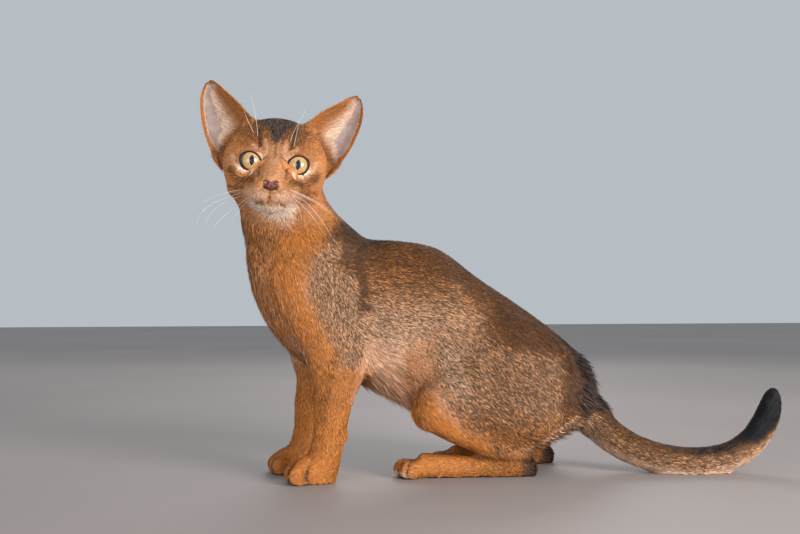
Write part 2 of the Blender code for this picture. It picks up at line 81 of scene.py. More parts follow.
class Wire:
    """An output of a node in a material. Sums and products with it add Math nodes."""

    def __init__(self, tree, socket=None):
        self.tree, self.socket = tree, socket

    def node(self, kind, settings=None, sockets=None, out=0):
        """Adds any node: its settings first, then the values or wires of its sockets."""
        made = self.tree.nodes.new("ShaderNode" + kind)
        for name, value in (settings or {}).items():
            setattr(made, name, value)
        for name, value in (sockets or {}).items():
            socket = made.inputs[name]
            if isinstance(value, Wire):
                self.tree.links.new(value.socket, socket)
            elif socket.type == "RGBA":
                socket.default_value = (*value, 1.0)
            else:
                socket.default_value = value
        return Wire(self.tree, made.outputs[out])

    def output(self, name):
        """Another output of the same node."""
        return Wire(self.tree, self.socket.node.outputs[name])

    def coordinates(self):
        """Places on the object, in its own coordinates."""
        return self.node("TexCoord", out="Object")

    def attribute(self, name, out):
        """What the mesh holds under a name."""
        return self.node("Attribute", {"attribute_name": name}, out=out)

    def math(self, operation, first, second=0.0):
        return self.node("Math", {"operation": operation}, {0: first, 1: second})

    def __add__(self, other):
        return self.math("ADD", self, other)

    def __radd__(self, other):
        return self.math("ADD", other, self)

    def __sub__(self, other):
        return self.math("SUBTRACT", self, other)

    def __rsub__(self, other):
        return self.math("SUBTRACT", other, self)

    def __mul__(self, other):
        return self.math("MULTIPLY", self, other)

    def __truediv__(self, other):
        return self.math("DIVIDE", self, other)

    def within(self, low, high, to_low=0.0, to_high=1.0):
        """Rises smoothly from to_low to to_high as the wire goes from low to high."""
        return self.node("MapRange", {"interpolation_type": "SMOOTHSTEP"},
                         {0: self, 1: low, 2: high, 3: to_low, 4: to_high})

    def mix(self, first, second):
        """The first colour where the wire is 0, and the second where it is 1."""
        return self.node("Mix", {"data_type": "RGBA"}, {0: self, 6: first, 7: second}, 2)

    def times(self, amount):
        """A colour or vector made brighter or longer."""
        return self.node("VectorMath", {"operation": "SCALE"}, {0: self, "Scale": amount})

    def noise(self, scale, detail=2.0, roughness=0.5, stretch=(1.0, 1.0, 1.0)):
        """Cloudy noise on the wire's coordinates, from 0 to 1."""
        placed = self.node("Mapping", None, {0: self, 3: stretch})
        return self.node("TexNoise", None,
                         {"Vector": placed, "Scale": scale, "Detail": detail, "Roughness": roughness})


def finish_start(name):
    """A new material, with its shader's sockets and a wire to begin from."""
    made = bpy.data.materials.new(name)
    made.use_nodes = True
    shader = made.node_tree.nodes["Principled BSDF"]
    return made, shader, Wire(made.node_tree)


def feed(shader, sockets):
    """Gives sockets of the shader their wires or values."""
    for name, value in sockets.items():
        if isinstance(value, Wire):
            value.tree.links.new(value.socket, shader.inputs[name])
        else:
            shader.inputs[name].default_value = value


def mesh_from(bm, name):
    """A finished bmesh as a mesh."""
    mesh = bpy.data.meshes.new(name)
    bm.to_mesh(mesh)
    bm.free()
    return mesh


def object_from(mesh, name, finish):
    """A finished mesh as a smooth object in the scene."""
    mesh.materials.append(finish)
    mesh.polygons.foreach_set("use_smooth", [True] * len(mesh.polygons))
    item = bpy.data.objects.new(name, mesh)
    scene.collection.objects.link(item)
    return item


def aim(item, place, target):
    """Stands a lamp at a place, facing its target."""
    item.location = place
    item.rotation_euler = (Vector(target) - Vector(place)).to_track_quat("-Z", "Y").to_euler()


scene = bpy.context.scene
scene.view_settings.view_transform = "Standard"
camera_data = bpy.data.cameras.new("camera")
camera_data.lens = LENS
camera_data.sensor_width = 36.0
camera = bpy.data.objects.new("camera", camera_data)
camera.location = CAMERA_PLACE
camera.rotation_euler = (math.radians(90.0 + CAMERA_LIFT), 0.0, math.radians(CAMERA_TURN))
scene.collection.objects.link(camera)
scene.camera = camera

for lamp_name, lamp_place, lamp_target, lamp_size, watts, lamp_colour in LAMPS:
    lamp = bpy.data.lights.new(lamp_name, "AREA")
    lamp.shape = "DISK"
    lamp.size = lamp_size
    lamp.energy = watts
    lamp.color = lamp_colour
    lamp_item = bpy.data.objects.new(lamp_name, lamp)
    aim(lamp_item, lamp_place, lamp_target)
    scene.collection.objects.link(lamp_item)

world = bpy.data.worlds.new("studio")
scene.world = world
world.use_nodes = True
world.node_tree.nodes["Background"].inputs["Color"].default_value = (*SKY, 1.0)

floor_finish, floor_shader, floor_start = finish_start("pale_floor")
floor_place = floor_start.coordinates()
floor_tone = floor_place.noise(2.2, 3.0).within(0.3, 0.7)
floor_colour = floor_tone.mix((0.285, 0.246, 0.235), (0.318, 0.276, 0.262))
feed(floor_shader, {"Base Color": floor_colour, "Roughness": 0.6})
floor_bm = bmesh.new()
bmesh.ops.create_grid(floor_bm, x_segments=8, y_segments=8, size=FLOOR_REACH)
floor = object_from(mesh_from(floor_bm, "floor"), "floor", floor_finish)
floor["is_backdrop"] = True


# ---------------------------------------------------------------- the hide
# The cat's skin: one unbroken surface from nose to tail, which lies under the tips of the coat by as much as
# the hair stands up. It is the flesh of every node closed into one form, with the folds of face and toes.
CLOSE_GAP = 0.25 * MM           # each copy swells by this, so that the thin cuts close
VOXEL = 1.7 * MM
FLESH = [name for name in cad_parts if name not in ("eye_left", "eye_right", "nose")]
EARS = [name for name in FLESH if name.startswith("ear")]
COAT = {    # how far the coat stands over the hide, its hairs' length and width, in mm, and tufts per mm2
    "head": (1.1, 3.4, 0.34, 5.4), "neck": (1.9, 6.4, 0.46, 3.4), "trunk": (2.0, 6.6, 0.48, 2.5),
    "shoulder_left": (1.7, 5.8, 0.46, 3.3), "shoulder_right": (1.7, 5.8, 0.46, 2.8),
    "foreleg_left": (1.1, 4.4, 0.40, 4.0), "foreleg_right": (1.1, 4.4, 0.40, 3.6),
    "forepaw_left": (0.8, 2.6, 0.34, 5.2), "forepaw_right": (0.8, 2.6, 0.34, 4.6),
    "thigh_left": (2.0, 6.8, 0.48, 3.0), "thigh_right": (2.0, 6.8, 0.48, 2.4),
    "hind_foot_left": (0.8, 3.2, 0.36, 4.4), "hind_foot_right": (0.8, 3.2, 0.36, 3.4),
    "tail_base": (2.1, 6.8, 0.46, 3.2), "tail_middle": (2.0, 6.8, 0.46, 3.2),
    "tail_tip": (1.8, 6.4, 0.44, 3.4),
    "ear_left": (0.35, 2.4, 0.28, 5.0), "ear_right": (0.35, 2.4, 0.28, 5.0),
}
NODE_ORDER = list(COAT)


def take_in(bm, mesh):
    """Moves a mesh into bm."""
    bm.from_mesh(mesh)
    bpy.data.meshes.remove(mesh)


def copy_into(bm, node, swell):
    """Adds a node's mesh, merged and swollen a little, to bm."""
    part = bmesh.new()
    part.from_mesh(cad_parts[node].data)
    bmesh.ops.remove_doubles(part, verts=part.verts, dist=0.01 * MM)
    part.normal_update()
    for vert in part.verts:
        vert.co += vert.normal * swell
    take_in(bm, mesh_from(part, "copy"))


def with_modifier(bm, kind, **settings):
    """The mesh that a modifier makes of bm."""
    item = bpy.data.objects.new("rough", mesh_from(bm, "rough"))
    scene.collection.objects.link(item)
    modifier = item.modifiers.new("rough", kind)
    for name, value in settings.items():
        setattr(modifier, name, value)
    made = bpy.data.meshes.new_from_object(item.evaluated_get(bpy.context.evaluated_depsgraph_get()))
    bpy.data.objects.remove(item, do_unlink=True)
    return made


def read(items, name, width, kind=float):
    """One property of all the items, a row to each."""
    held = np.empty(len(items) * width, dtype=kind)
    items.foreach_get(name, held)
    return held.reshape(-1, width)


def arrays_of(mesh):
    """Points, normals, edges and triangles of a mesh, as arrays."""
    mesh.calc_loop_triangles()
    return (read(mesh.vertices, "co", 3), read(mesh.vertex_normals, "vector", 3),
            read(mesh.edges, "vertices", 2, np.int64), read(mesh.loop_triangles, "vertices", 3, np.int64))


def relaxed(values, edges, rounds):
    """Each vertex's value averaged with its neighbours' a number of times."""
    a, b = edges.T
    number = len(values)
    near = np.maximum(np.bincount(np.concatenate((a, b)), minlength=number), 1)[:, None]
    flat = values.reshape(number, -1).astype(float)
    for _ in range(rounds):
        total = np.stack([np.bincount(a, flat[b, k], number) + np.bincount(b, flat[a, k], number)
                          for k in range(flat.shape[1])], axis=1)
        flat = 0.5 * flat + 0.5 * total / near
    return flat.reshape(values.shape)


def unit(vectors):
    """Each vector made one long."""
    return vectors / np.maximum(np.linalg.norm(vectors, axis=-1, keepdims=True), 1e-12)


def rise(low, high, value):
    """0 below low, 1 above high, and smooth in between."""
    t = np.clip((value - low) / (high - low), 0.0, 1.0)
    return t * t * (3 - 2 * t)


def fall(low, high, value):
    """1 below low, 0 above high, and smooth in between."""
    return 1 - rise(low, high, value)


def spot(at, centre, radii):
    """1 at the centre and fading out over the radii."""
    return np.exp(-(((at - np.array(centre)) / np.array(radii)) ** 2).sum(axis=1))


def stroke(at, line, half):
    """1 along a line through two or more places, and fading out past half its width."""
    away = np.full(len(at), 1e9)
    for first, last in zip(np.array(line[:-1], dtype=float), np.array(line[1:], dtype=float)):
        run = last - first
        t = np.clip(((at - first) @ run) / (run @ run), 0.0, 1.0)
        away = np.minimum(away, np.linalg.norm(at - first - t[:, None] * run, axis=1))
    return fall(half * 0.45, half * 1.55, away)


def patch(at, where, size):
    """A spot at one place, with its radii, or a stroke along several, with half its width."""
    return stroke(at, where, size) if isinstance(where[0], tuple) else spot(at, where, size)


# The head's own directions come from the eyes and the nose.
eye_centre = {side: (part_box("eye_" + side)[0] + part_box("eye_" + side)[1]) / 2 for side in ("left", "right")}
nose_centre = (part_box("nose")[0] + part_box("nose")[1]) / 2
EYE_DEPTH = 7.2 * MM            # each eyeball's centre behind the eye line
NOSE_FORWARD = 28.5             # nose's centre before the eyeballs' and below them, in mm
NOSE_BELOW = 21.5
eye_middle = (eye_centre["left"] + eye_centre["right"]) / 2
head_left = (eye_centre["left"] - eye_centre["right"]).normalized()
to_nose = nose_centre - eye_middle
to_nose = (to_nose - head_left * to_nose.dot(head_left)).normalized()
above = to_nose.cross(head_left)
if above.z < 0:
    above.negate()
reach = math.hypot(NOSE_FORWARD, NOSE_BELOW)
head_forward = (to_nose * NOSE_FORWARD + above * NOSE_BELOW) / reach
head_up = (above * NOSE_FORWARD - to_nose * NOSE_BELOW) / reach
head_origin = eye_middle + head_forward * EYE_DEPTH
HEAD_AXES = np.array([head_left, head_forward, head_up])


def in_head(points):
    """Points in the head's frame, in mm: left, forward and up from the middle of the eye line."""
    return (points - np.array(head_origin)) @ HEAD_AXES.T / MM


def from_head(places):
    """The way back from the head's frame."""
    return np.array(head_origin) + np.asarray(places, dtype=float) * MM @ HEAD_AXES


VIEW_TILT = math.radians(16.0)  # the face's lines are drawn on a plane tilted down by this


def face_plane(at_head):
    """Places on a plane across the face, in mm: out from its middle line, and up."""
    return np.stack((np.abs(at_head[:, 0]),
                     at_head[:, 2] * math.cos(VIEW_TILT) + at_head[:, 1] * math.sin(VIEW_TILT)), axis=1)


closed = bmesh.new()
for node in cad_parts:
    if node not in EARS:
        copy_into(closed, node, CLOSE_GAP)
body = with_modifier(closed, "REMESH", mode="VOXEL", voxel_size=VOXEL)

# Finer faces round the muzzle and the eyes, where the folds are.
fine = bmesh.new()
take_in(fine, body)
FINE_AREAS = (((0, 18, -24), 0.85), ((17, 0, 0), 0.72), ((-17, 0, 0), 0.72))    # middle, and share of reach
FINE_REACH = (21.6, 16.6)       # of each halving of the faces, mm
for reach_mm in FINE_REACH:
    places = np.array([vert.co for vert in fine.verts])
    near_face = np.zeros(len(places), dtype=bool)
    for centre, share in FINE_AREAS:
        near_face |= np.linalg.norm(places - from_head(centre), axis=1) < reach_mm * share * MM
    fine.verts.index_update()
    edges_near = [e for e in fine.edges if near_face[e.verts[0].index] and near_face[e.verts[1].index]]
    bmesh.ops.subdivide_edges(fine, edges=edges_near, cuts=1, use_grid_fill=True)
    fine.verts.ensure_lookup_table()
body = mesh_from(fine, "body")

points, normals, edges, triangles = arrays_of(body)
points = relaxed(points, edges, 6)
body.vertices.foreach_set("co", points.ravel())
body.update()
points, normals, edges, triangles = arrays_of(body)

cad_points, cad_faces, cad_labels = [], [], []
for number, node in enumerate(NODE_ORDER):
    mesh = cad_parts[node].data
    start = len(cad_points)
    cad_points.extend(vert.co.copy() for vert in mesh.vertices)
    for polygon in mesh.polygons:
        cad_faces.append([start + k for k in polygon.vertices])
        cad_labels.append(number)
cad_tree = BVHTree.FromPolygons(cad_points, cad_faces)
labels = np.array([cad_labels[cad_tree.find_nearest(Vector(p))[2]] for p in points])
labels[np.isin(labels, [NODE_ORDER.index(e) for e in EARS])] = NODE_ORDER.index("head")
shares = relaxed(np.eye(len(NODE_ORDER))[labels], edges, 30)
coat_rows = np.array([COAT[name] for name in NODE_ORDER])
depth = (shares @ coat_rows[:, 0]) * MM

face = in_head(points)
head_share = shares[:, NODE_ORDER.index("head")]
muzzle = head_share * np.exp(-(((face - (0, 20, -24)) / (17, 16, 16)) ** 2).sum(axis=1))
depth = depth * (1 - 0.55 * muzzle)
flat_sole = fall(0.4 * MM, 1.6 * MM, points[:, 2])

# The folds of the face: hollows at the inner corners of the eyes and along the bridge of the nose, a shallow
# stop, cheekbones, flat temples, two pads over the lip with a groove between them, the mouth and the chin.
MOUTH = ((0, -25.2), (2.4, -26.2), (5.3, -26.8), (10.2, -28.9))
PHILTRUM = ((0, -19), (0, -25.2))
FOLDS = (   # height, mm; a place or a line on the face's plane, mm; and its radii or half its width
    (0.7, (18.5, -12.5), (7, 3.5)), (0.6, ((0, -2), (0, -11)), 3.2), (1.0, (6.4, -22.4), (4.4, 3.2)),
    (1.0, (0, -32), (6.5, 3.2)), (0.5, (9, 21), (6, 7)), (-1.1, (10, -3.5), (3.2, 4)),
    (-1.0, ((7.4, 2), (8.8, -11)), 2.2), (-0.9, (0, 5), (6, 5)), (-0.9, (14.5, -19), (2.8, 5)),
    (-1.5, (29, 13), (7, 8)), (-3.6, (0, -16.8), (4.4, 2.7)), (-0.7, PHILTRUM, 0.8), (-0.35, MOUTH, 0.9),
)
folds = face_plane(face)
form = np.zeros(len(points))
for height, where, size in FOLDS:
    form += height * patch(folds, where, size)
form *= head_share * rise(-17.0, -8.0, face[:, 1])

# The toes part at clefts that run forwards, each at its own distance to the side of the foot's middle line.
FEET = {    # middle, degrees the toes turn from -X towards -Y, how far ahead the clefts start, and clefts
    "forepaw_left": ((-135, -17), 42, 5, (-4.8, 6.3)),
    "forepaw_right": ((-143, 29), 10, 9, (-6.4, 0, 6.4)),
    "hind_foot_left": ((-66, -13), 50, -1, (-4, 2.6)),
    "hind_foot_right": ((-33, 28), 0, -3, (-5.6, 0, 5.6)),
}
CLEFT_HALF = 0.95               # half the width of a cleft, and its depth, mm
CLEFT_DEEP = 1.6
LOWEST = 0.05 * MM              # no skin or hair comes nearer the floor


def cleft_at(at, foot):
    """1 in the clefts between a foot's toes, for places in mm."""
    middle, turn, start, clefts = FEET[foot]
    c, s = math.cos(math.radians(turn)), math.sin(math.radians(turn))
    ahead = -(at[:, 0] - middle[0]) * c - (at[:, 1] - middle[1]) * s
    aside = -(at[:, 0] - middle[0]) * s + (at[:, 1] - middle[1]) * c
    lines = np.max([np.exp(-((aside - cleft) / CLEFT_HALF) ** 2) for cleft in clefts], axis=0)
    return lines * rise(start, start + 5.0, ahead)


toe_form = np.zeros(len(points))
for foot in FEET:
    toe_form -= CLEFT_DEEP * cleft_at(points / MM, foot) * shares[:, NODE_ORDER.index(foot)]
points = points - normals * (depth * (1 - flat_sole) - (form + toe_form * (1 - flat_sole)) * MM)[:, None]
points[:, 2] = np.maximum(points[:, 2], LOWEST)
points = relaxed(points, edges, 1)
points[:, 2] = np.maximum(points[:, 2], LOWEST)
body.vertices.foreach_set("co", points.ravel())
body.update()


# ---------------------------------------------------------------- the ears
# Each ear is a tall cupped sheet of gristle under thin skin, open forwards and outwards, with a rounded tip.
# Its foot runs down into the head, so the hide closes round it.
EAR_SINK = 2.5                  # how far the foot goes into the head, mm
EAR_FOOT = 14.0                 # how much of the ear the sinking draws down, mm
EAR_INSET = 0.25                # how far the ear's skin lies under its coat, mm
hide = bmesh.new()
take_in(hide, body)
ear_starts = []
ear_ups = {}                    # the way up each ear, its tip and its foot
for ear in EARS:
    rough = bmesh.new()
    copy_into(rough, ear, -EAR_INSET * MM)
    places = np.array([vert.co for vert in rough.verts])
    foot = places[places[:, 2] < np.quantile(places[:, 2], 0.2)].mean(axis=0)
    tip = places[places[:, 2].argmax()]
    ear_up = unit(tip - foot)
    ear_ups[ear] = (ear_up, tip, foot)
    along = (places - foot) @ ear_up / MM
    for vert, share in zip(rough.verts, fall(along.min(), along.min() + EAR_FOOT, along)):
        vert.co -= Vector(ear_up) * (EAR_SINK * MM * share)
    ear_starts.append((len(hide.verts), ear))
    take_in(hide, with_modifier(rough, "SUBSURF", levels=2, render_levels=2))


# ---------------------------------------------------------------- the eyelids
# Bare dark rims, one ring of lid to each eye, tight against the eyeball: a nearly round opening that runs
# out to a point at the corner by the nose. The rim is thickest above, and its slope runs under the fur.
EYE_RADIUS = 9.0
LID_STEPS = 64
LID_ROWS = 9                    # points from the inner edge of the rim to the foot of its slope
LID_WIDE = 7.1                  # half the opening across, mm
LID_HIGH = 6.0                  # half the opening from lid to lid, mm
LID_ROUND = 1.9                 # 2 is an ellipse, and less is more pointed
TEAR_POINT = 1.7                # how much further the corner by the nose runs, mm
OUTER_POINT = 0.5               # and the outer corner, mm
UPPER_DROOP = 0.35              # how much the upper lid comes down, mm
LID_SLANT = 0.44                # radians the opening rises towards its outer corner
RIM_FAR = 9.22                  # the rim from the eyeball's centre, mm
RIM_AHEAD = 5.9                 # and at least this far before it, mm
UNDER_RIM = 8.4                 # the hide inside the rim from the eyeball's centre, mm
LID_BURIED = 8.8                # the rim's inner edge from there, a little inside the eyeball, mm
LID_HEAVY = 0.35                # how much thicker the upper lid is, mm
LID_SLOPE = (   # angle past the rim, mm over the hide, and how far it has gone from the rim's height to that
    (0.19, 0.25, 0.5), (0.36, 0.1, 0.85), (0.53, -0.1, 1.0), (0.70, -0.8, 1.0),
)


def rim_place(turn):
    """The rim of the lids, in mm out from the eye's axis and ahead, at a turn from the outer corner."""
    slanted = turn - LID_SLANT
    across, upright = abs(math.cos(slanted)) / LID_WIDE, abs(math.sin(slanted)) / LID_HIGH
    wide = across ** LID_ROUND + upright ** LID_ROUND
    from_tear = math.atan2(math.sin(slanted - math.pi), math.cos(slanted - math.pi))
    from_outer = math.atan2(math.sin(slanted), math.cos(slanted))
    opening = wide ** (-1 / LID_ROUND) + TEAR_POINT * math.exp(-(from_tear / 0.24) ** 2)
    opening -= UPPER_DROOP * max(math.sin(turn), 0.0)
    opening += OUTER_POINT * math.exp(-(from_outer / 0.3) ** 2)
    return opening, max(math.sqrt(max(RIM_FAR ** 2 - opening ** 2, 0.0)), RIM_AHEAD)


def lid_way(axes, turn, angle):
    """The way from the eyeball's centre at a turn round its axis and an angle off it."""
    axis, out_way, up_way = axes
    return axis * math.cos(angle) + (out_way * math.cos(turn) + up_way * math.sin(turn)) * math.sin(angle)


eye_axes = {}
for side, sign in (("left", 1.0), ("right", -1.0)):
    axis = unit(np.array([sign * 0.06, 0.98, -0.13]))
    out_way = unit(np.array([sign, -0.2, 0.0]) - axis * (axis @ np.array([sign, -0.2, 0.0])))
    up_way = np.cross(axis, out_way) * -sign
    if up_way[2] < 0:
        up_way = -up_way
    eye_axes[side] = (np.array(eye_centre[side]), axis @ HEAD_AXES, out_way @ HEAD_AXES, up_way @ HEAD_AXES)

# The hide is cut back behind the eyeball inside each rim, and slopes up from the rim to the face outside it.
for centre, axis, out_way, up_way in eye_axes.values():
    for vert in hide.verts:
        away = (np.array(vert.co) - centre) / MM
        far = np.linalg.norm(away)
        if far > 15.0 or away @ axis < 0:
            continue
        out, ahead = rim_place(math.atan2(away @ up_way, away @ out_way))
        past = math.acos(min(away @ axis / far, 1.0)) - math.atan2(out, ahead)
        limit = UNDER_RIM if past < 0.06 else math.hypot(out, ahead) - 0.25 + 11.0 * (past - 0.06)
        if far > limit:
            vert.co = Vector(centre + away * (limit / far) * MM)
hide_tree = BVHTree.FromBMesh(hide)
lid_start = len(hide.verts)
for centre, axis, out_way, up_way in eye_axes.values():
    rings = []
    for k in range(LID_STEPS):
        turn = 2 * math.pi * k / LID_STEPS
        out, ahead = rim_place(turn)
        rim, rim_far = math.atan2(out, ahead), math.hypot(out, ahead)
        inside = math.asin(min(out * 0.93 / LID_BURIED, 0.99)) - rim
        heavy = LID_HEAVY * max(math.sin(turn), 0.0)
        axes = (axis, out_way, up_way)
        # The rim's own rows, by the angle past its edge and the mm over it, then those sloping to the hide.
        column = []
        for angle, more in ((inside, LID_BURIED - rim_far), (-0.01, -0.2), (0.005, 0.0),
                            (0.03, 0.17 + heavy), (0.07, 0.30 + heavy)):
            column.append(centre + lid_way(axes, turn, rim + angle) * (rim_far + more) * MM)
        for angle, over, share in LID_SLOPE:
            way = lid_way(axes, turn, rim + angle)
            hit = hide_tree.ray_cast(Vector(centre + way * 6.0 * MM), Vector(way), 9.0 * MM)
            skin_far = 9.6 if hit[3] is None else min(max(6.0 + hit[3] / MM, 8.6), 13.0)
            far = (rim_far + 0.30 + heavy) * (1 - share) + (skin_far + over) * share
            column.append(centre + way * far * MM)
        rings.append([hide.verts.new(p) for p in column])
    for k in range(LID_STEPS):
        first, second = rings[k], rings[(k + 1) % LID_STEPS]
        for i in range(len(first) - 1):
            lid = hide.faces.new((first[i], first[i + 1], second[i + 1], second[i]))
            lid.normal_update()
            if lid.normal.dot(lid.calc_center_median() - Vector(centre)) < 0:
                lid.normal_flip()
bmesh.ops.triangulate(hide, faces=hide.faces)
skin_mesh = mesh_from(hide, "skin")


# ---------------------------------------------------------------- the markings
# The coat is ticked: each hair of the back and flanks has dark and apricot bands. Legs and cheeks are clear
# rufous, the tail's tip, crown, withers, soles and lines of the face black, and muzzle and chin pale. Each
# patch is laid over those before it.
TAIL_LINE = (   # middle of the tail from root to tip, mm
    (49.5, 6, 72), (62.5, 6, 62), (71.5, 2, 47), (81.5, -7, 32), (97.5, -19, 18.5), (119.5, -30, 10.5),
    (143.5, -36, 8.2), (166.5, -39, 11), (185, -40, 20.5), (196.5, -39, 33), (203, -38, 45), (206, -37, 55),
    (207.5, -37, 62.5),
)

points, normals, edges, triangles = arrays_of(skin_mesh)
number = len(points)
labels = np.array([cad_labels[cad_tree.find_nearest(Vector(p))[2]] for p in points])
for k, (start, ear) in enumerate(ear_starts):
    end = ear_starts[k + 1][0] if k + 1 < len(ear_starts) else lid_start
    labels[:start][labels[:start] == NODE_ORDER.index(ear)] = NODE_ORDER.index("head")
    labels[start:end] = NODE_ORDER.index(ear)
labels[lid_start:] = NODE_ORDER.index("head")
shares = relaxed(np.eye(len(NODE_ORDER))[labels], edges, 24)
place = points / MM
x, y, z = place.T
head_place = in_head(points)
left, forward, up = head_place.T
soft_normals = unit(relaxed(normals, edges, 6))
marks = np.zeros((number, 4))


def wave(at, size, seed):
    """A smooth wandering number from about -1 to 1, with humps of a size in mm."""
    draw = np.random.default_rng(seed)
    total = np.zeros(len(at))
    for _ in range(6):
        way = unit(draw.normal(size=3))
        total += np.sin(at @ way * (2 * math.pi / size * draw.uniform(0.6, 1.5)) + draw.uniform(0, 6.28))
    return total / 2.4


def share_of(start):
    """How much of each point belongs to the nodes whose names begin so."""
    return sum(shares[:, k] for k, name in enumerate(NODE_ORDER) if name.startswith(start))


def most(*masks):
    """The strongest of several masks at each point."""
    return np.clip(np.max(masks, axis=0), 0.0, 1.0)


def paint(mask, black, ticked, cream, rufous):
    """Lays a marking over what is there, as far as the mask reaches."""
    marks[:] += np.clip(mask, 0.0, 1.0)[:, None] * (np.array((black, ticked, cream, rufous)) - marks)


# The edges of the markings wander a little, as fur does.
ragged = np.stack([wave(place, 8.0, 41 + k) + 0.6 * wave(place, 3.6, 51 + k) for k in range(2)], axis=1)
side_on = place[:, (0, 2)] + ragged
side_x, side_z = side_on.T
# Where each point of the tail is along it, from 0 at the root to 1 at the tip, and which way it runs.
tail_points = np.array(TAIL_LINE)
spans = np.diff(tail_points, axis=0)
lengths = np.linalg.norm(spans, axis=1)
best = np.full(number, 1e9)
tail_along = np.zeros(number)
tail_way = np.zeros((number, 3))
for k, span in enumerate(spans):
    t = np.clip((place - tail_points[k]) @ span / (span @ span), 0.0, 1.0)
    away = np.linalg.norm(place - tail_points[k] - t[:, None] * span, axis=1)
    closer = away < best
    best[closer] = away[closer]
    tail_along[closer] = ((lengths[:k].sum() + t * lengths[k]) / lengths.sum())[closer]
    tail_way[closer] = unit(span)

on_head, on_neck, on_trunk, on_tail = (share_of(start) for start in ("head", "neck", "trunk", "tail"))
on_shoulders, on_forelegs, on_forepaws = (share_of(start) for start in ("shoulder", "foreleg", "forepaw"))
on_thighs, on_hind_feet = share_of("thigh"), share_of("hind_foot")
on_flanks = on_trunk + on_neck + on_shoulders
on_rear = on_trunk + on_thighs
facing_back, facing_side, facing_up = soft_normals.T
topside = rise(0.10, 0.75, facing_up)
underside = fall(-0.75, -0.15, facing_up)
behind = rise(0.0, 0.7, facing_back)
step_back = np.where(y > 6.0, 33.0, 0.0)        # the right hind foot stands further back
hind_on = np.stack((x - step_back * fall(20.0, 110.0, z), z), axis=1) + ragged
hind_x = hind_on[:, 0]

# The body, from the throat back to the tail.
paint(np.ones(number), 0, 0.46, 0.30, 0.46)
paint(on_trunk * rise(-0.1, 0.5, 1 - z / 118) * rise(-112, -100, x), 0, 0.32, 0.58, 0.42)
waist = rise(-112, -98, x) * fall(-8, 22, x)
paint(on_trunk * fall(86, 106, side_z) * waist, 0, 0.20, 0.38, 0.72)
paint(on_trunk * underside * waist, 0, 0.18, 0.40, 0.72)
paint(on_trunk * rise(0, 24, x) * fall(64, 92, z), 0, 0.52, 0.40, 0.52)
paint(on_trunk * fall(-160, -142, x), 0, 0.26, 0.14, 0.68)
paint(on_neck, 0, 0.34, 0.08, 0.76)
paint(on_neck * rise(-168, -140, x), 0, 0.55, 0.18, 0.55)
paint(on_neck * behind, 0.22, 0.90, 0.02, 0.60)
paint(0.55 * on_trunk * rise(118, 140, side_z) * rise(-112, -98, x), 0, 0.62, 0.10, 0.80)
paint(on_trunk * topside * rise(-125, -100, x), 0.05, 0.85, 0, 0.95)
saddle = spot(side_on, (-30, 146), (24, 14))
paint(on_trunk * saddle * rise(0.2, 0.8, topside), 0.16, 0.92, 0, 0.75)
paint(0.5 * on_trunk * spot(side_on, (-42, 130), (13, 13)), 0.03, 0.62, 0.22, 0.35)
neck_line = ((-104, 180), (-112, 166), (-116, 152))
paint(0.8 * on_flanks * stroke(side_on, neck_line, 7), 0.18, 0.90, 0, 0.6)
paint(on_rear * rise(0, 0.4, topside) * rise(-25, 10, x), 0.20, 0.95, 0, 1)
paint(on_rear * spot(side_on, (15, 108), (24, 18)), 0.14, 0.92, 0, 1)
paint(on_shoulders, 0, 0.52, 0.30, 0.46)
paint(on_shoulders * fall(-147, -137, x), 0, 0.22, 0.30, 0.60)
paint(on_shoulders * fall(74, 90, side_z), 0, 0.20, 0, 1)

# The thighs and hind feet.
paint(on_thighs * fall(80, 100, side_z), 0, 0.60, 0.24, 0.50)
paint(on_thighs * fall(34, 56, side_z), 0, 0.52, 0.10, 0.74)
paint(0.7 * on_rear * stroke(hind_on, ((-44, 88), (-40, 66)), 8), 0, 0.46, 0.46, 0.40)
knee_line = ((-61, 80), (-58, 70), (-55, 56), (-47, 44))
paint(0.5 * on_rear * stroke(hind_on, knee_line, 15), 0, 0.34, 0.30, 0.70)
paint(0.7 * on_rear * stroke(hind_on, knee_line, 7.5), 0, 0.20, 0.26, 0.85)
paint(0.8 * on_thighs * fall(-76, -50, hind_x), 0, 0.16, 0.24, 0.88)
paint(on_thighs * stroke(hind_on, ((-64, 54), (-46, 35), (-20, 20)), 8), 0, 0.08, 0.04, 1)
paint(on_rear * rise(36, 56, side_x) * rise(38, 58, z), 0.56, 0.98, 0, 0.85)
paint(on_thighs * rise(30, 52, hind_x), 0.14, 0.80, 0.02, 0.80)
paint(on_hind_feet, 0, 0.22, 0.04, 1)
paint(on_hind_feet * rise(-40, 0, hind_x), 0, 0.46, 0.02, 1)
paint(on_hind_feet * rise(9, 24, hind_x), 0.40, 0.80, 0, 0.85)
paint(0.8 * (on_hind_feet + on_thighs) * spot(hind_on, (22, 21), (7, 7)), 0.60, 0.80, 0, 0.7)
paint(0.7 * on_hind_feet * fall(-70, -60, hind_x) * fall(4, 8, z), 0, 0.04, 0.70, 0.50)

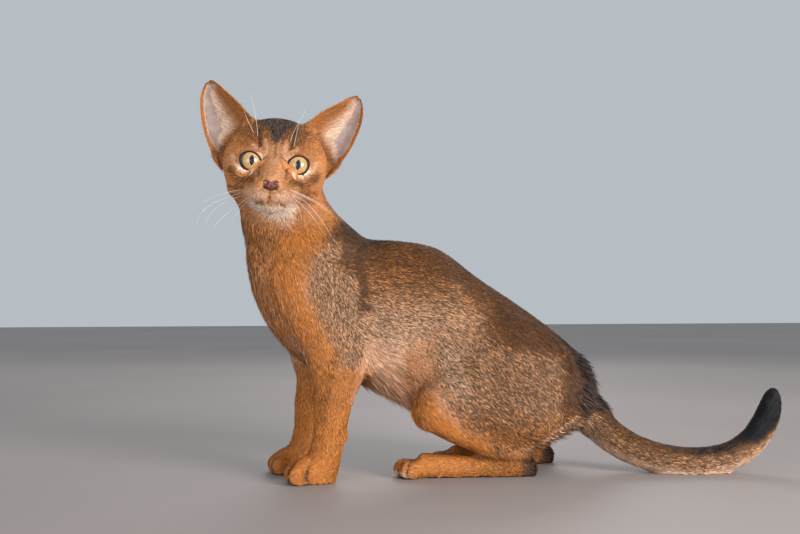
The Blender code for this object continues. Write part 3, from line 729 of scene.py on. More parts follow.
# The forelegs: clear rufous, with a dusky streak outside, a pale edge behind the elbow, painted shade in the
# fold behind the shoulder, and the toes' clefts darkened as painted shade.
paint(on_forelegs + on_forepaws, 0, 0.19, 0, 1)
paint(0.6 * on_forepaws * fall(4, 10, z) * fall(-143, -135, x), 0, 0.16, 0.12, 0.90)
side_wall = rise(0.05, 0.5, np.abs(facing_side))
band = ((-134, 186), (-149, 167), (-155, 150))
paint(0.9 * on_flanks * stroke(side_on, band, 12) * side_wall, 0, 0.20, 0, 1)
band = ((-155, 150), (-151, 130), (-143, 113), (-132, 95), (-129, 62))
paint(0.5 * on_flanks * stroke(side_on, band, 15) * side_wall, 0, 0.26, 0.14, 0.80)
paint(0.9 * on_flanks * stroke(side_on, band, 8) * side_wall, 0, 0.06, 0.06, 0.96)
streak = stroke(side_on, ((-122, 96), (-127, 68), (-129, 44)), 2.4)
paint(0.5 * (on_shoulders + on_forelegs) * streak, 0.10, 0.60, 0, 0.95)
elbow = stroke(side_on, ((-98, 100), (-103, 80), (-108, 58)), 3.4)
paint(0.7 * (on_shoulders + on_forelegs + on_trunk) * elbow, 0, 0.20, 0.34, 0.65)
# Darkened along the fold behind the shoulder: painted shade.
shoulder_fold_shade = stroke(side_on, ((-101, 171), (-107, 153), (-103.5, 134), (-103, 124)), 3.4)
paint(0.62 * on_flanks * shoulder_fold_shade * side_wall, 0.24, 0.95, 0, 0.6)
paint(0.9 * (on_trunk + on_neck) * spot(place, (-98, 6, 170), (13, 16, 10)), 0.56, 0.98, 0, 0.6)
# Painted shade in the clefts between the toes.
for foot in FEET:
    paint(0.75 * share_of(foot) * cleft_at(place, foot), 0.60, 0.6, 0, 0.8)
paint(0.9 * (on_forepaws + on_hind_feet) * fall(0.5, 1.9, z), 0.85, 0.5, 0, 0.5)

# The tail: dusky above and paler below, its upper side darkening from the middle on, and its tip black.
paint(on_tail, 0, 0.60, 0.26, 0.52)
paint(on_tail * fall(0.10, 0.30, tail_along), 0, 0.48, 0.42, 0.44)
paint(on_tail * topside, 0.08, 0.80, 0.10, 0.60)
paint(on_tail * fall(-0.65, 0, facing_up), 0, 0.20, 0.50, 0.48)
paint(0.85 * on_tail * rise(0.30, 0.85, facing_up) * rise(0.42, 0.64, tail_along), 0.60, 0.9, 0, 0.5)
tail_tip_from = 0.77 + 0.13 * fall(-0.6, 0.6, soft_normals @ unit(np.array([-0.6, -0.1, 0.8])))
paint(on_tail * rise(tail_tip_from - 0.07, tail_tip_from + 0.05, tail_along), 1, 1, 0, 0.3)


def paint_face(*rows):
    """Spots and lines: how strong, where on the face's plane, radii or half the width, and the marking."""
    for strength, where, size, marking in rows:
        paint(strength * before * patch(across_face, where, size), *marking)


# The head: rufous, dusky over the crown and nape, with the lines of the face laid on a plane across it.
face_ragged = np.stack([0.35 * wave(place, 3.2, 61 + k) for k in range(2)], axis=1)
across_face = face_plane(head_place) + face_ragged
across_face[:, 0] = np.abs(across_face[:, 0])
face_width, face_up = across_face.T
before = on_head * rise(-20, -10, forward)
eye_place = np.stack([in_head(np.array([eye_axes[side][0]]))[0] for side in ("left", "right")])
eye_far = np.min([np.linalg.norm(head_place - e - (0, 3, 0), axis=1) for e in eye_place], axis=0)
paint(on_head, 0, 0.24, 0.14, 0.84)
paint(on_head * fall(-40, -18, forward), 0.05, 0.60, 0.05, 0.70)
paint(before * rise(3, 16, face_up), 0, 0.66, 0.04, 0.92)
paint(before * spot(across_face, (27, 12), (8, 9)), 0, 0.36, 0.12, 0.85)
paint(before * fall(-26, -12, face_up) * rise(15, 24, face_width), 0, 0.16, 0.20, 0.80)
paint_face(
    (0.6, ((0, 12), (0, -2)), 4.2, (0, 0.30, 0.40, 0.60)),
    (0.5, ((0, 12), (0.3, 1)), 0.9, (0.05, 0.60, 0.05, 0.80)),
    (0.75, ((7, 11.5), (7.2, 7), (7.6, 0)), 1.6, (0, 0.10, 0.40, 0.70)),
    (0.6, ((8.6, 2.5), (11.5, 6.2), (15, 8.6)), 1.2, (0, 0.05, 0.45, 0.70)),
    (1, ((0, -6), (0, -11.5)), 5.5, (0, 0.04, 0.22, 0.86)),
    (0.75, ((28, -8), (22, -13.6), (12.5, -12.2)), 2.4, (0.10, 0.72, 0, 0.85)),
    (0.85, ((13.4, -8.1), (16, -8.7), (20.5, -8), (24.5, -4.5)), 1.1, (0, 0, 0.70, 0.50)),
    (0.5, ((25.5, -4), (27, 0.5)), 1.3, (0, 0.06, 0.60, 0.60)),
    (0.45, ((29, -19), (18.5, -17.8)), 1.4, (0.15, 0.75, 0, 0.9)),
    (0.40, ((28, -25), (19.5, -23.8)), 1.4, (0.15, 0.75, 0, 0.9)),
    (0.7, (9.5, -22.5), (9, 5), (0, 0.08, 0.66, 0.56)),
)
paint(before * fall(-29.5, -26.5, face_up) * fall(12, 18, face_width), 0, 0.02, 0.90, 0.36)
paint(0.7 * before * spot(across_face, (13.5, -28.5), (3.5, 2.5)), 0, 0.05, 0.90, 0.30)
pad_spots = [((6 + 2.1 * k, row), (6.1 + 2.1 * k, row)) for k in range(4) for row in (-19.6, -21.7, -23.8)]
paint(0.3 * before * most(*[stroke(across_face, line, 0.5) for line in pad_spots]), 0.3, 0.8, 0, 0.9)
crown_half = np.interp(face_up, (10.5, 14, 19.3, 23, 26.8, 31), (0.2, 1.6, 4.8, 9, 13.5, 15))
crown = rise(10, 14.5, face_up) * fall(crown_half * 0.5, crown_half * 1.4 + 1.6, face_width)
paint(0.8 * before * spot(across_face, (11, 22), (7, 6)), 0.08, 0.78, 0, 0.8)
paint(0.9 * on_head * rise(-45, -20, forward) * crown * rise(0, 8, up), 0.42, 0.92, 0.75, 0.20)
paint_face(
    (0.6, (0, 16), (2.4, 4), (0.50, 0.95, 0, 0.5)),
    (0.75, ((10.4, 8.4), (11, 14), (12.4, 20)), 1.2, (0.30, 0.9, 0, 0.8)),
    (0.6, ((9.6, -2.6), (8.9, -6), (8, -10.5)), 1, (0.22, 0.75, 0, 0.8)),
    (1, (0, -16.8), (4.6, 2.1), (0.95, 1, 0, 0.4)),
)
mouth_line = most(stroke(across_face, PHILTRUM, 0.55), stroke(across_face, MOUTH, 0.6))
paint(0.6 * before * mouth_line, 0.26, 1, 0, 0.8)
in_lid = (np.arange(number) - lid_start) % LID_ROWS
lid_rim = np.where(np.arange(number) >= lid_start, np.interp(in_lid, (3, 4, 5), (1, 0.8, 0)), 0)
paint(lid_rim, 0.93, 0.9, 0, 0.5)

# The ears: short rufous fur on the back and rims, dusky at the tip, and a bare lining by the outer edge.
RIM_WIDE = 2.6                  # furred rim round the opening, mm
EAR_BANDS = 25                  # heights at which the ear's width is measured
ear_along, ear_across, ear_rim = np.zeros(number), np.zeros(number), np.zeros(number)
lining = np.zeros(number)
ear_outward = np.zeros((number, 3))
ear_openings = {}
for ear in EARS:
    sign = 1 if ear.endswith("left") else -1
    mine = np.flatnonzero(labels == NODE_ORDER.index(ear))
    ear_up, tip, foot = ear_ups[ear]
    out_way = unit(HEAD_AXES[0] * sign - ear_up * (HEAD_AXES[0] * sign @ ear_up))
    high = (points[mine] - foot) @ ear_up / MM
    wide = (points[mine] - foot) @ out_way / MM
    stops = np.linspace(high.min(), high.max(), EAR_BANDS + 1)
    band_of = np.clip(np.searchsorted(stops, high) - 1, 0, EAR_BANDS - 1)
    known = [k for k in range(EAR_BANDS) if (band_of == k).any()]
    middles = ((stops[1:] + stops[:-1]) / 2)[known]
    inner = np.interp(high, middles, [wide[band_of == k].min() for k in known])
    outer = np.interp(high, middles, [wide[band_of == k].max() for k in known])
    ear_along[mine] = (high - high.min()) / (high.max() - high.min())
    ear_across[mine] = (wide - inner) / np.maximum(outer - inner, 1)
    edge_far = np.minimum(np.minimum(wide - inner, outer - wide), (high.max() - high) * 0.8)
    pocket = 3.2 * np.exp(-((ear_along[mine] - 0.22) / 0.10) ** 2) * (ear_across[mine] > 0.5)
    ear_rim[mine] = fall(RIM_WIDE * 0.5 + pocket, RIM_WIDE * 1.3 + pocket, edge_far)
    ear_openings[ear] = unit(np.array([sign * 0.35, 1, 0])) @ HEAD_AXES
    lining[mine] = rise(-0.05, 0.35, soft_normals[mine] @ ear_openings[ear])
    ear_outward[mine] = out_way
furnished = lining * fall(0.40, 0.70, ear_across) * fall(0.80, 0.95, ear_along)
furnished = np.maximum(furnished, lining * fall(0.12, 0.26, ear_along))
bare_lining = lining * (1 - ear_rim)
only_ears = np.isin(labels, [NODE_ORDER.index(ear) for ear in EARS]).astype(float)
paint(only_ears, 0.05, 0.45, 0.05, 0.80)
paint(only_ears * rise(0.86, 0.97, ear_along), 0.08, 0.65, 0, 0.85)
paint(only_ears * ear_rim * fall(0.88, 0.97, ear_along), 0, 0.30, 0.04, 1)
paint(only_ears * bare_lining, 0, 0.16, 0.64, 0.52)
paint(only_ears * bare_lining * fall(0.14, 0.42, ear_across), 0, 0.24, 0.12, 0.95)
paint(only_ears * bare_lining * fall(0.10, 0.26, ear_along), 0, 0.12, 0.30, 0.85)
marks = np.clip(marks, 0.0, 1.0)


# ---------------------------------------------------------------- the skin's finish
# The hide carries the same markings as the coat over it: short under-fur in rufous, umber and black, the
# bare pinkish-grey skin of the ears' lining and the dark rims of the lids. Its bump is the grain of flat fur.
INK = (0.013, 0.013, 0.016)
UMBER = (0.070, 0.034, 0.017)
RUDDY = (0.47, 0.165, 0.033)
APRICOT = (0.62, 0.36, 0.20)
CREAM = (0.82, 0.66, 0.54)
EAR_SKIN = (0.33, 0.25, 0.23)


def coat_colour(start, along, tone, place):
    """The coat's colour from the markings, how far along its hair a point is, and the hair's own tone, darkened
    towards the root as painted shade.
    """
    held = start.attribute("marks", "Color")
    parts = held.node("SeparateColor", None, {0: held}, "Red")
    black, ticked, cream = parts, parts.output("Green"), parts.output("Blue")
    rufous = held.output("Alpha")
    fleck = start.math("FRACT", tone * 7.31)
    shade = start.math("FRACT", tone * 3.17)
    drift = place.noise(45.0, 2.0)
    pale = (rufous + (shade - 0.5) * 0.35).within(0.0, 1.0).mix(APRICOT, RUDDY)
    pale = (cream + (fleck - 0.5) * 0.25).within(0.0, 1.0).mix(pale, CREAM)
    amount = (ticked * (fleck * 1.1 + 0.45)).within(0.0, 1.0)
    banded = ((along + amount * 0.9 - 1.0) * 3.5 + 0.3).within(0.0, 1.0) * (amount * 4.0).within(0.0, 1.0)
    colour = (banded * 0.92).mix(pale, UMBER)
    inked = ((black * 1.6 - fleck) * 2.2 + 0.3).within(0.0, 1.0) * (black * 6.0).within(0.0, 0.86)
    colour = inked.mix(colour, INK)
    # The last factor darkens each hair towards its root, and the hide under the coat with it: painted shade.
    return colour.times((0.42 + shade * 0.88 + drift * 0.28) * (0.78 + along * 0.36))


skin_finish, skin_shader, skin_start = finish_start("skin")
skin_place = skin_start.coordinates()
grain = skin_place.noise(900.0, 3.0, 0.6)
skin_colour = coat_colour(skin_start, 0.35 + grain * 0.6, grain, skin_place)
bare = skin_start.attribute("lining", "Fac")
veins = skin_place.noise(160.0, 3.0).within(0.35, 0.7)
skin_colour = bare.mix(skin_colour, veins.mix(EAR_SKIN, (0.26, 0.185, 0.165)))
skin_bump = skin_start.node("Bump", None, {"Strength": 0.35, "Distance": 0.0004, "Height": grain})
feed(skin_shader, {"Base Color": skin_colour, "Roughness": 0.62 - bare * 0.12, "Normal": skin_bump,
                   "Specular IOR Level": 0.16})


def hold(mesh, name, values):
    """Gives each point of a mesh its own number, vector or colour, for the material to read."""
    width = np.size(values) // len(mesh.vertices)
    kind, key = {1: ("FLOAT", "value"), 3: ("FLOAT_VECTOR", "vector"), 4: ("FLOAT_COLOR", "color")}[width]
    mesh.attributes.new(name, kind, "POINT").data.foreach_set(key, np.ravel(values))


hold(skin_mesh, "marks", marks)
hold(skin_mesh, "lining", bare_lining * rise(0.10, 0.42, ear_across))
skin = object_from(skin_mesh, "skin", skin_finish)
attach(skin, "root")
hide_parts(*FLESH)


# ---------------------------------------------------------------- the eyes
# Two glossy eyeballs: a clear bulged cornea over a golden iris, grey-green towards its narrow upright pupil
# and dark-ringed where it meets the white. They sit behind the lids, and look a little to one side.
PUPIL = (1.85, 3.7)             # half its width and half its height, mm
GAZE = {"left": (-0.04, -0.02), "right": (0.15, 0.02)}    # turn to the cat's left and up from the lids' axis
BULGE = 0.035                   # how much further the cornea's middle stands, as a share of the radius

eye_finish, eye_shader, eye_start = finish_start("eye")
looked = eye_start.attribute("gaze", "Vector")
parts = eye_start.node("SeparateXYZ", None, {0: looked}, "X")
sideways, upwards = parts, parts.output("Y")
radius = eye_start.math("SQRT", sideways * sideways + upwards * upwards)
angle = eye_start.math("ARCTAN2", upwards, sideways)
cosine, sine = eye_start.math("COSINE", angle), eye_start.math("SINE", angle)
ring_place = eye_start.node("CombineXYZ", None, {0: cosine * 3.0, 1: sine * 3.0, 2: radius * 0.10})
fibres = ring_place.noise(5.0, 4.0, 0.65)
golden = fibres.within(0.3, 0.7).mix((0.34, 0.18, 0.06), (0.66, 0.41, 0.17))
green = fibres.within(0.3, 0.7).mix((0.22, 0.18, 0.09), (0.45, 0.38, 0.21))
iris = radius.within(1.4, 4.2).mix(green, golden)
limbus = radius.within(5.7, 6.5)
iris = limbus.mix(iris, (0.030, 0.016, 0.010))
iris = radius.within(6.6, 7.2).mix(iris, (0.12, 0.07, 0.05))
width_here = 1.0 - (upwards / PUPIL[1]) * (upwards / PUPIL[1])
in_pupil = (width_here * PUPIL[0] - eye_start.math("ABSOLUTE", sideways)).within(-0.12, 0.22)
feed(eye_shader, {"Base Color": in_pupil.mix(iris, (0.006, 0.008, 0.010)), "Roughness": 0.30,
                  "Coat Weight": 1.0, "Coat Roughness": 0.02, "Specular IOR Level": 0.3})

for side in ("left", "right"):
    centre, axis, out_way, up_way = eye_axes[side]
    sign = 1.0 if side == "left" else -1.0
    left_way = out_way * sign
    gaze = unit(axis + left_way * GAZE[side][0] + up_way * GAZE[side][1])
    gaze_left = unit(left_way - gaze * (left_way @ gaze))
    gaze_up = unit(up_way - gaze * (up_way @ gaze) - gaze_left * (up_way @ gaze_left))
    ball = bmesh.new()
    bmesh.ops.create_uvsphere(ball, u_segments=72, v_segments=48, radius=EYE_RADIUS * MM)
    looks = []
    for vert in ball.verts:
        a, b, c = np.array(vert.co) / (EYE_RADIUS * MM)
        bulge = 1.0 + BULGE * math.exp(-(math.acos(max(-1.0, min(1.0, c))) / 0.55) ** 2)
        vert.co = Vector(centre + (gaze_left * a + gaze_up * b + gaze * c) * EYE_RADIUS * MM * bulge)
        looks.append((a * EYE_RADIUS + (0.0 if c > 0 else 1e-3), b * EYE_RADIUS, c))
    bmesh.ops.recalc_face_normals(ball, faces=ball.faces)
    eye = object_from(mesh_from(ball, "eyeball_" + side), "eyeball_" + side, eye_finish)
    hold(eye.data, "gaze", looks)
    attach(eye, "root")
    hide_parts("eye_" + side)


# ---------------------------------------------------------------- the nose
# Bare brick-pink leather, broad above and narrow below, parted by the groove that runs down to the lip. The
# nostrils curl out and back at its sides. Its edge and top are dark leather, and the nostrils, their slits and
# the groove are darkened as painted shade in their hollows.
NOSE_HALF = 5.7                 # half its width, its height above and below the middle, and its depth, mm
NOSE_ABOVE, NOSE_UNDER = 3.4, 4.6
NOSE_DEEP = 4.3
NOSTRIL_DEEP, GROOVE_DEEP = 2.1, 0.7
nose_finish, nose_shader, nose_start = finish_start("nose_leather")
nose_place = nose_start.coordinates()
pebbles = nose_place.node("TexVoronoi", None, {"Vector": nose_place, "Scale": 1900.0})
leather_dark_and_shade = nose_start.attribute("dark", "Fac")
nose_tone = nose_place.noise(400.0, 3.0).within(0.3, 0.7)
leather = nose_tone.mix((0.13, 0.034, 0.024), (0.22, 0.066, 0.045))
nose_bump = nose_start.node("Bump", None, {"Strength": 0.4, "Distance": 0.0002, "Height": pebbles})
# Dark leather at the edge and top, and painted shade in the nostrils, their slits and the groove.
feed(nose_shader, {"Base Color": leather_dark_and_shade.mix(leather, (0.022, 0.010, 0.009)),
                   "Roughness": 0.50 - nose_tone * 0.10, "Normal": nose_bump})
leather_bm = bmesh.new()
bmesh.ops.create_uvsphere(leather_bm, u_segments=64, v_segments=48, radius=1.0)
nose_at = in_head(np.array([nose_centre]))[0]
rims_and_painted_shade = []
for vert in leather_bm.verts:
    a, b, c = vert.co.x, -vert.co.y, vert.co.z          # left, forward and up on a unit ball
    wide = NOSE_HALF * (1.0 + 0.10 * c if c > 0 else 1.0 - 0.42 * (-c) ** 1.3)
    high = NOSE_ABOVE if c > 0 else NOSE_UNDER
    deep = NOSE_DEEP * (1.0 - 0.12 * max(c, 0.0))
    p = np.array([a * wide, b * deep, c * high])
    front_on = max(b, 0.0)
    hole = math.exp(-(((abs(p[0]) - 2.9) / 1.25) ** 2 + ((p[2] + 0.6) / 0.95) ** 2)) * front_on
    slit = math.exp(-(((abs(p[0]) - 4.5) / 1.3) ** 2 + ((p[2] - 0.3) / 0.5) ** 2)) * (front_on + 0.2)
    groove = math.exp(-(p[0] / 0.42) ** 2) * math.exp(-(max(c - 0.1, 0.0) / 0.25) ** 2) * front_on
    p[1] -= NOSTRIL_DEEP * min(hole + 0.6 * slit, 1.0) + GROOVE_DEEP * groove
    edge = 1.0 - min(max((b - 0.18) / 0.30, 0.0), 1.0)
    crest = 0.55 * min(max((c - 0.25) / 0.35, 0.0), 1.0)
    # The nostrils, their slits and the groove are darkened as painted shade; the edge and the crest are the
    # leather's own dark rim.
    rims_and_painted_shade.append(min(1.0, 1.5 * hole + 1.2 * slit + 0.55 * groove + 0.8 * edge + crest))
    vert.co = Vector(from_head(nose_at + p))
bmesh.ops.recalc_face_normals(leather_bm, faces=leather_bm.faces)
nose = object_from(mesh_from(leather_bm, "nose_pad"), "nose_pad", nose_finish)
hold(nose.data, "dark", rims_and_painted_shade)
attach(nose, "root")
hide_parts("nose")


# ---------------------------------------------------------------- the coat
# Short close hair in flat overlapping tufts, each a thin tapering blade that lies the way the coat grows:
# back from the nose, down neck and legs and out along the tail. It is finest on the face and feet.
MOST_TUFTS = 66000              # in one piece
PATCH = 0.003                   # size of each tuft's patch on the coat's map
ROOT_SUNK = 0.12                # how far the roots go into the hide, mm
HAIR_STOPS = np.array([0.0, 0.5, 1.0])      # places along a tuft, and its width at each
HAIR_WIDTHS = np.array([0.7, 1.0, 0.0])
BLADE = np.array([(0, 1, 3), (0, 3, 2), (2, 3, 4)])     # a tuft's triangles, and its points' stops and sides
BLADE_STOP = np.array([0, 0, 1, 1, 2])
BLADE_SIDE = np.array([-1.0, 1.0, -1.0, 1.0, 0.0])

# The way the coat lies, region by region, smoothed where they meet.
from_nose = head_place - (0, 25, -18)
head_flow = unit(from_nose) + (0, -0.25, 0)
for e in eye_place:
    away = (head_place - e) * (1, 0.3, 1)
    far = np.linalg.norm(away, axis=1)
    head_flow = head_flow + (3.4 * np.exp(-((np.maximum(far, 8) - 8) / 4) ** 2))[:, None] * unit(away)
head_flow = unit(head_flow) @ HEAD_AXES
flow = on_head[:, None] * head_flow
nape = rise(-0.35, 0.6, facing_back)[:, None]
flow += on_neck[:, None] * (nape * (0.5, 0, -0.85) + (1 - nape) * (0.15, 0, -1))
fore_part = fall(-150, -112, x)[:, None]
flow += on_trunk[:, None] * (fore_part * (0.35, 0, -0.9) + (1 - fore_part) * (0.93, 0, -0.38))
for share, way in ((on_shoulders, (0.30, 0, -0.95)), (on_forelegs, (0.06, 0, -1)),
                   (on_forepaws, (-0.85, 0, -0.5)), (on_thighs, (0.72, 0, -0.70)),
                   (on_hind_feet, (-0.98, 0, -0.18)), (on_tail, tail_way)):
    flow += share[:, None] * way
for ear in EARS:
    mine = labels == NODE_ORDER.index(ear)
    ear_up = ear_ups[ear][0]
    combed = 0.85 * ear_outward + 0.5 * ear_up + 0.3 * ear_openings[ear]
    flow[mine] = (ear_up + furnished[:, None] * (combed - ear_up))[mine]
flow = unit(flow - normals * (flow * normals).sum(axis=1, keepdims=True))
flow = relaxed(flow, edges, 4)

coat_here = shares @ coat_rows
muzzle_here = on_head * np.exp(-(((head_place - (0, 22, -22)) / (17, 17, 17)) ** 2).sum(axis=1))
lid_near = on_head * np.exp(-(np.maximum(eye_far - 9.0, 0.0) / 4.0) ** 2)
stand = coat_here[:, 0] * (1 - 0.55 * muzzle_here)
hair_long = coat_here[:, 1] * (1 - 0.45 * muzzle_here) * (1 - 0.45 * lid_near)
hair_long *= 1 + 0.25 * on_head * fall(-35.0, -10.0, forward)
hair_wide = coat_here[:, 2] * (1 - 0.22 * muzzle_here) * (1 - 0.15 * lid_near)
thick = coat_here[:, 3] * (1 + 0.5 * muzzle_here + 0.5 * lid_near)
fringe = np.clip(0.9 * on_trunk * fall(80.0, 98.0, z) * rise(-112.0, -98.0, x)
                 + 0.6 * stroke(hind_on, ((-70.0, 67.0), (-69.0, 54.0), (-62.0, 45.0)), 5.0) * on_thighs
                 + 0.7 * on_flanks * fall(-0.85, -0.35, facing_back) * rise(70.0, 90.0, z)
                 + 0.5 * (on_thighs + on_hind_feet) * rise(0.3, 0.8, facing_back)
                 + 0.6 * on_rear * rise(0.45, 0.8, facing_back) * rise(36.0, 56.0, z), 0.0, 1.0)
hair_long *= 1 + 1.1 * fringe
hair_wide = hair_wide * (1 + 0.7 * fringe)

# Long pale hairs fan out over the lining from each ear's inner edge, and the head's stand up round its foot.
furry = furnished * only_ears
hair_long += furry * (9.0 * (1 - 0.55 * ear_along) - hair_long)
stand += furry * (2.1 - stand)
hair_wide += furry * (0.30 - hair_wide)
thick += furry * (3.2 - thick)
tufted = only_ears * ear_rim * rise(0.3, 0.9, ear_along)
hair_long += 1.2 * tufted
lining_tree = KDTree(int((bare_lining > 0.5).sum()))
for k in np.flatnonzero(bare_lining > 0.5):
    lining_tree.insert(points[k], int(k))
lining_tree.balance()
at_foot = np.zeros(number)
for k in np.flatnonzero((on_head > 0.5) & (up > -6.0)):
    at_foot[k] = math.exp(-(lining_tree.find(points[k])[2] / (8.5 * MM)) ** 2)
hair_long += 4.0 * at_foot
stand = stand + 0.6 * at_foot
rising = np.where(left[:, None] > 0, ear_ups["ear_left"][0], ear_ups["ear_right"][0])

# Some hairs leave the hide and hang or stand free: round the ears, across their openings and in the fringes.
loose = np.clip(0.85 * furry + 1.1 * at_foot + 0.90 * fringe, 0.0, 1.0)
fan = np.where(left[:, None] > 0, HEAD_AXES[0], -HEAD_AXES[0])
free_way = 0.9 * at_foot[:, None] * (rising + 0.45 * fan + 0.45 * normals)
free_way += furry[:, None] * (flow + 0.25 * normals)
free_way += fringe[:, None] * (0.8 * flow + 0.60 * normals + (0.0, 0.0, -0.30))
free_way = unit(free_way + 1e-3 * flow)

# No tufts grow on the lids' rims, under the eyes or nose or on the soles, and few in the mouth and ears.
bare_part = np.zeros(number)
for e in eye_place:
    bare_part = np.maximum(bare_part, np.linalg.norm(head_place - e, axis=1) < 10.0)
bare_part[lid_start:] = (in_lid <= 5)[lid_start:]
nose_near = np.linalg.norm((head_place - nose_at) / (6.6, 5.5, 5.2), axis=1)
bare_part = np.maximum(bare_part, nose_near < 1.0)
bare_part = np.maximum(bare_part, (z < 0.7) & (normals[:, 2] < -0.5))
lip_line = before * most(stroke(across_face, PHILTRUM, 0.5), stroke(across_face, MOUTH, 0.7))
allowed = (1 - bare_part) * (1 - 0.985 * bare_lining * (1 - furnished)) * (1 - 0.85 * lip_line)

corners = points[triangles]
areas = np.cross(corners[:, 1] - corners[:, 0], corners[:, 2] - corners[:, 0])
areas = np.linalg.norm(areas, axis=1) / 2 / MM ** 2
growth = areas * (thick * allowed)[triangles].mean(axis=1) * (allowed[triangles].min(axis=1) > 0.05)
face_region = labels[triangles[:, 0]]
face_middle = corners.mean(axis=1) / MM
face_forward = forward[triangles].mean(axis=1)
hide_tree = BVHTree.FromPolygons([Vector(p) for p in points], triangles.tolist(), all_triangles=True)

coat_finish, coat_shader, coat_start = finish_start("coat")
coat_place = coat_start.coordinates()
hair = coat_start.attribute("hair", "Vector")
hair_parts = coat_start.node("SeparateXYZ", None, {0: hair}, "X")
hair_along, hair_across, hair_tone = hair_parts, hair_parts.output("Y"), hair_parts.output("Z")
strand_place = {0: hair_across * 1.7, 1: hair_tone * 40.0, 2: hair_along * 0.4}
strand = coat_start.node("CombineXYZ", None, strand_place).noise(2.2, 2.0).within(0.25, 0.75)
hair_colour = coat_colour(coat_start, hair_along + strand * 0.16 - 0.08, hair_tone, coat_place)
feed(coat_shader, {"Base Color": hair_colour.times(0.82 + strand * 0.34), "Roughness": 0.50 + strand * 0.18,
                   "Specular IOR Level": 0.16})


def unwrapped(chosen):
    """A coarse copy of part of the hide, unwrapped: its search tree, corners and their places on the map."""
    used, inverse = np.unique(triangles[chosen], return_inverse=True)
    part = bpy.data.meshes.new("map")
    part.from_pydata(points[used].tolist(), [], inverse.reshape(-1, 3).tolist())
    bm = bmesh.new()
    take_in(bm, part)
    coarse = with_modifier(bm, "DECIMATE", ratio=min(1.0, 1800.0 / len(chosen)))
    item = bpy.data.objects.new("map", coarse)
    scene.collection.objects.link(item)
    bpy.context.view_layer.objects.active = item
    item.select_set(True)
    bpy.ops.object.mode_set(mode="EDIT")
    bpy.ops.mesh.select_all(action="SELECT")
    bpy.ops.uv.smart_project(angle_limit=math.radians(60.0), island_margin=0.006)
    bpy.ops.object.mode_set(mode="OBJECT")
    coarse.calc_loop_triangles()
    at = read(coarse.vertices, "co", 3)
    tri = read(coarse.loop_triangles, "vertices", 3, np.int64)
    tri_uv = read(coarse.uv_layers.active.data, "uv", 2)[read(coarse.loop_triangles, "loops", 3, np.int64)]
    tree = BVHTree.FromPolygons([Vector(p) for p in at], tri.tolist(), all_triangles=True)
    bpy.data.objects.remove(item, do_unlink=True)
    bpy.data.meshes.remove(coarse)
    return tree, at[tri], tri_uv


def map_places(roots, chosen):
    """Where each root falls on the unwrapped hide."""
    tree, at, uv = unwrapped(chosen)
    hit = np.array([tree.find_nearest(Vector(r))[2] for r in roots])
    a, b, c = at[hit, 0], at[hit, 1], at[hit, 2]
    v0, v1, v2 = b - a, c - a, roots - a
    d00, d01, d11 = (v0 * v0).sum(1), (v0 * v1).sum(1), (v1 * v1).sum(1)
    d20, d21 = (v2 * v0).sum(1), (v2 * v1).sum(1)
    room = np.maximum(d00 * d11 - d01 * d01, 1e-30)
    s, t = np.clip((d11 * d20 - d01 * d21) / room, 0, 1), np.clip((d00 * d21 - d01 * d20) / room, 0, 1)
    return uv[hit, 0] * (1 - s - t)[:, None] + uv[hit, 1] * s[:, None] + uv[hit, 2] * t[:, None]


def coat_mesh(name, rings, tri, row_marks, row_hair, row_uv):
    """A coat piece from its points, triangles, markings, hair numbers and map."""
    mesh = bpy.data.meshes.new(name)
    mesh.vertices.add(len(rings))
    mesh.vertices.foreach_set("co", rings.ravel().astype(np.float32))
    mesh.loops.add(tri.size)
    mesh.loops.foreach_set("vertex_index", tri.ravel().astype(np.int32))
    mesh.polygons.add(len(tri))
    mesh.polygons.foreach_set("loop_start", np.arange(0, tri.size, 3, dtype=np.int32))
    mesh.update(calc_edges=True)
    hold(mesh, "marks", row_marks)
    hold(mesh, "hair", row_hair)
    mesh.uv_layers.new(name="OFBake").data.foreach_set("uv", row_uv[tri.ravel()].ravel())
    piece = object_from(mesh, name, coat_finish)
    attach(piece, "root")


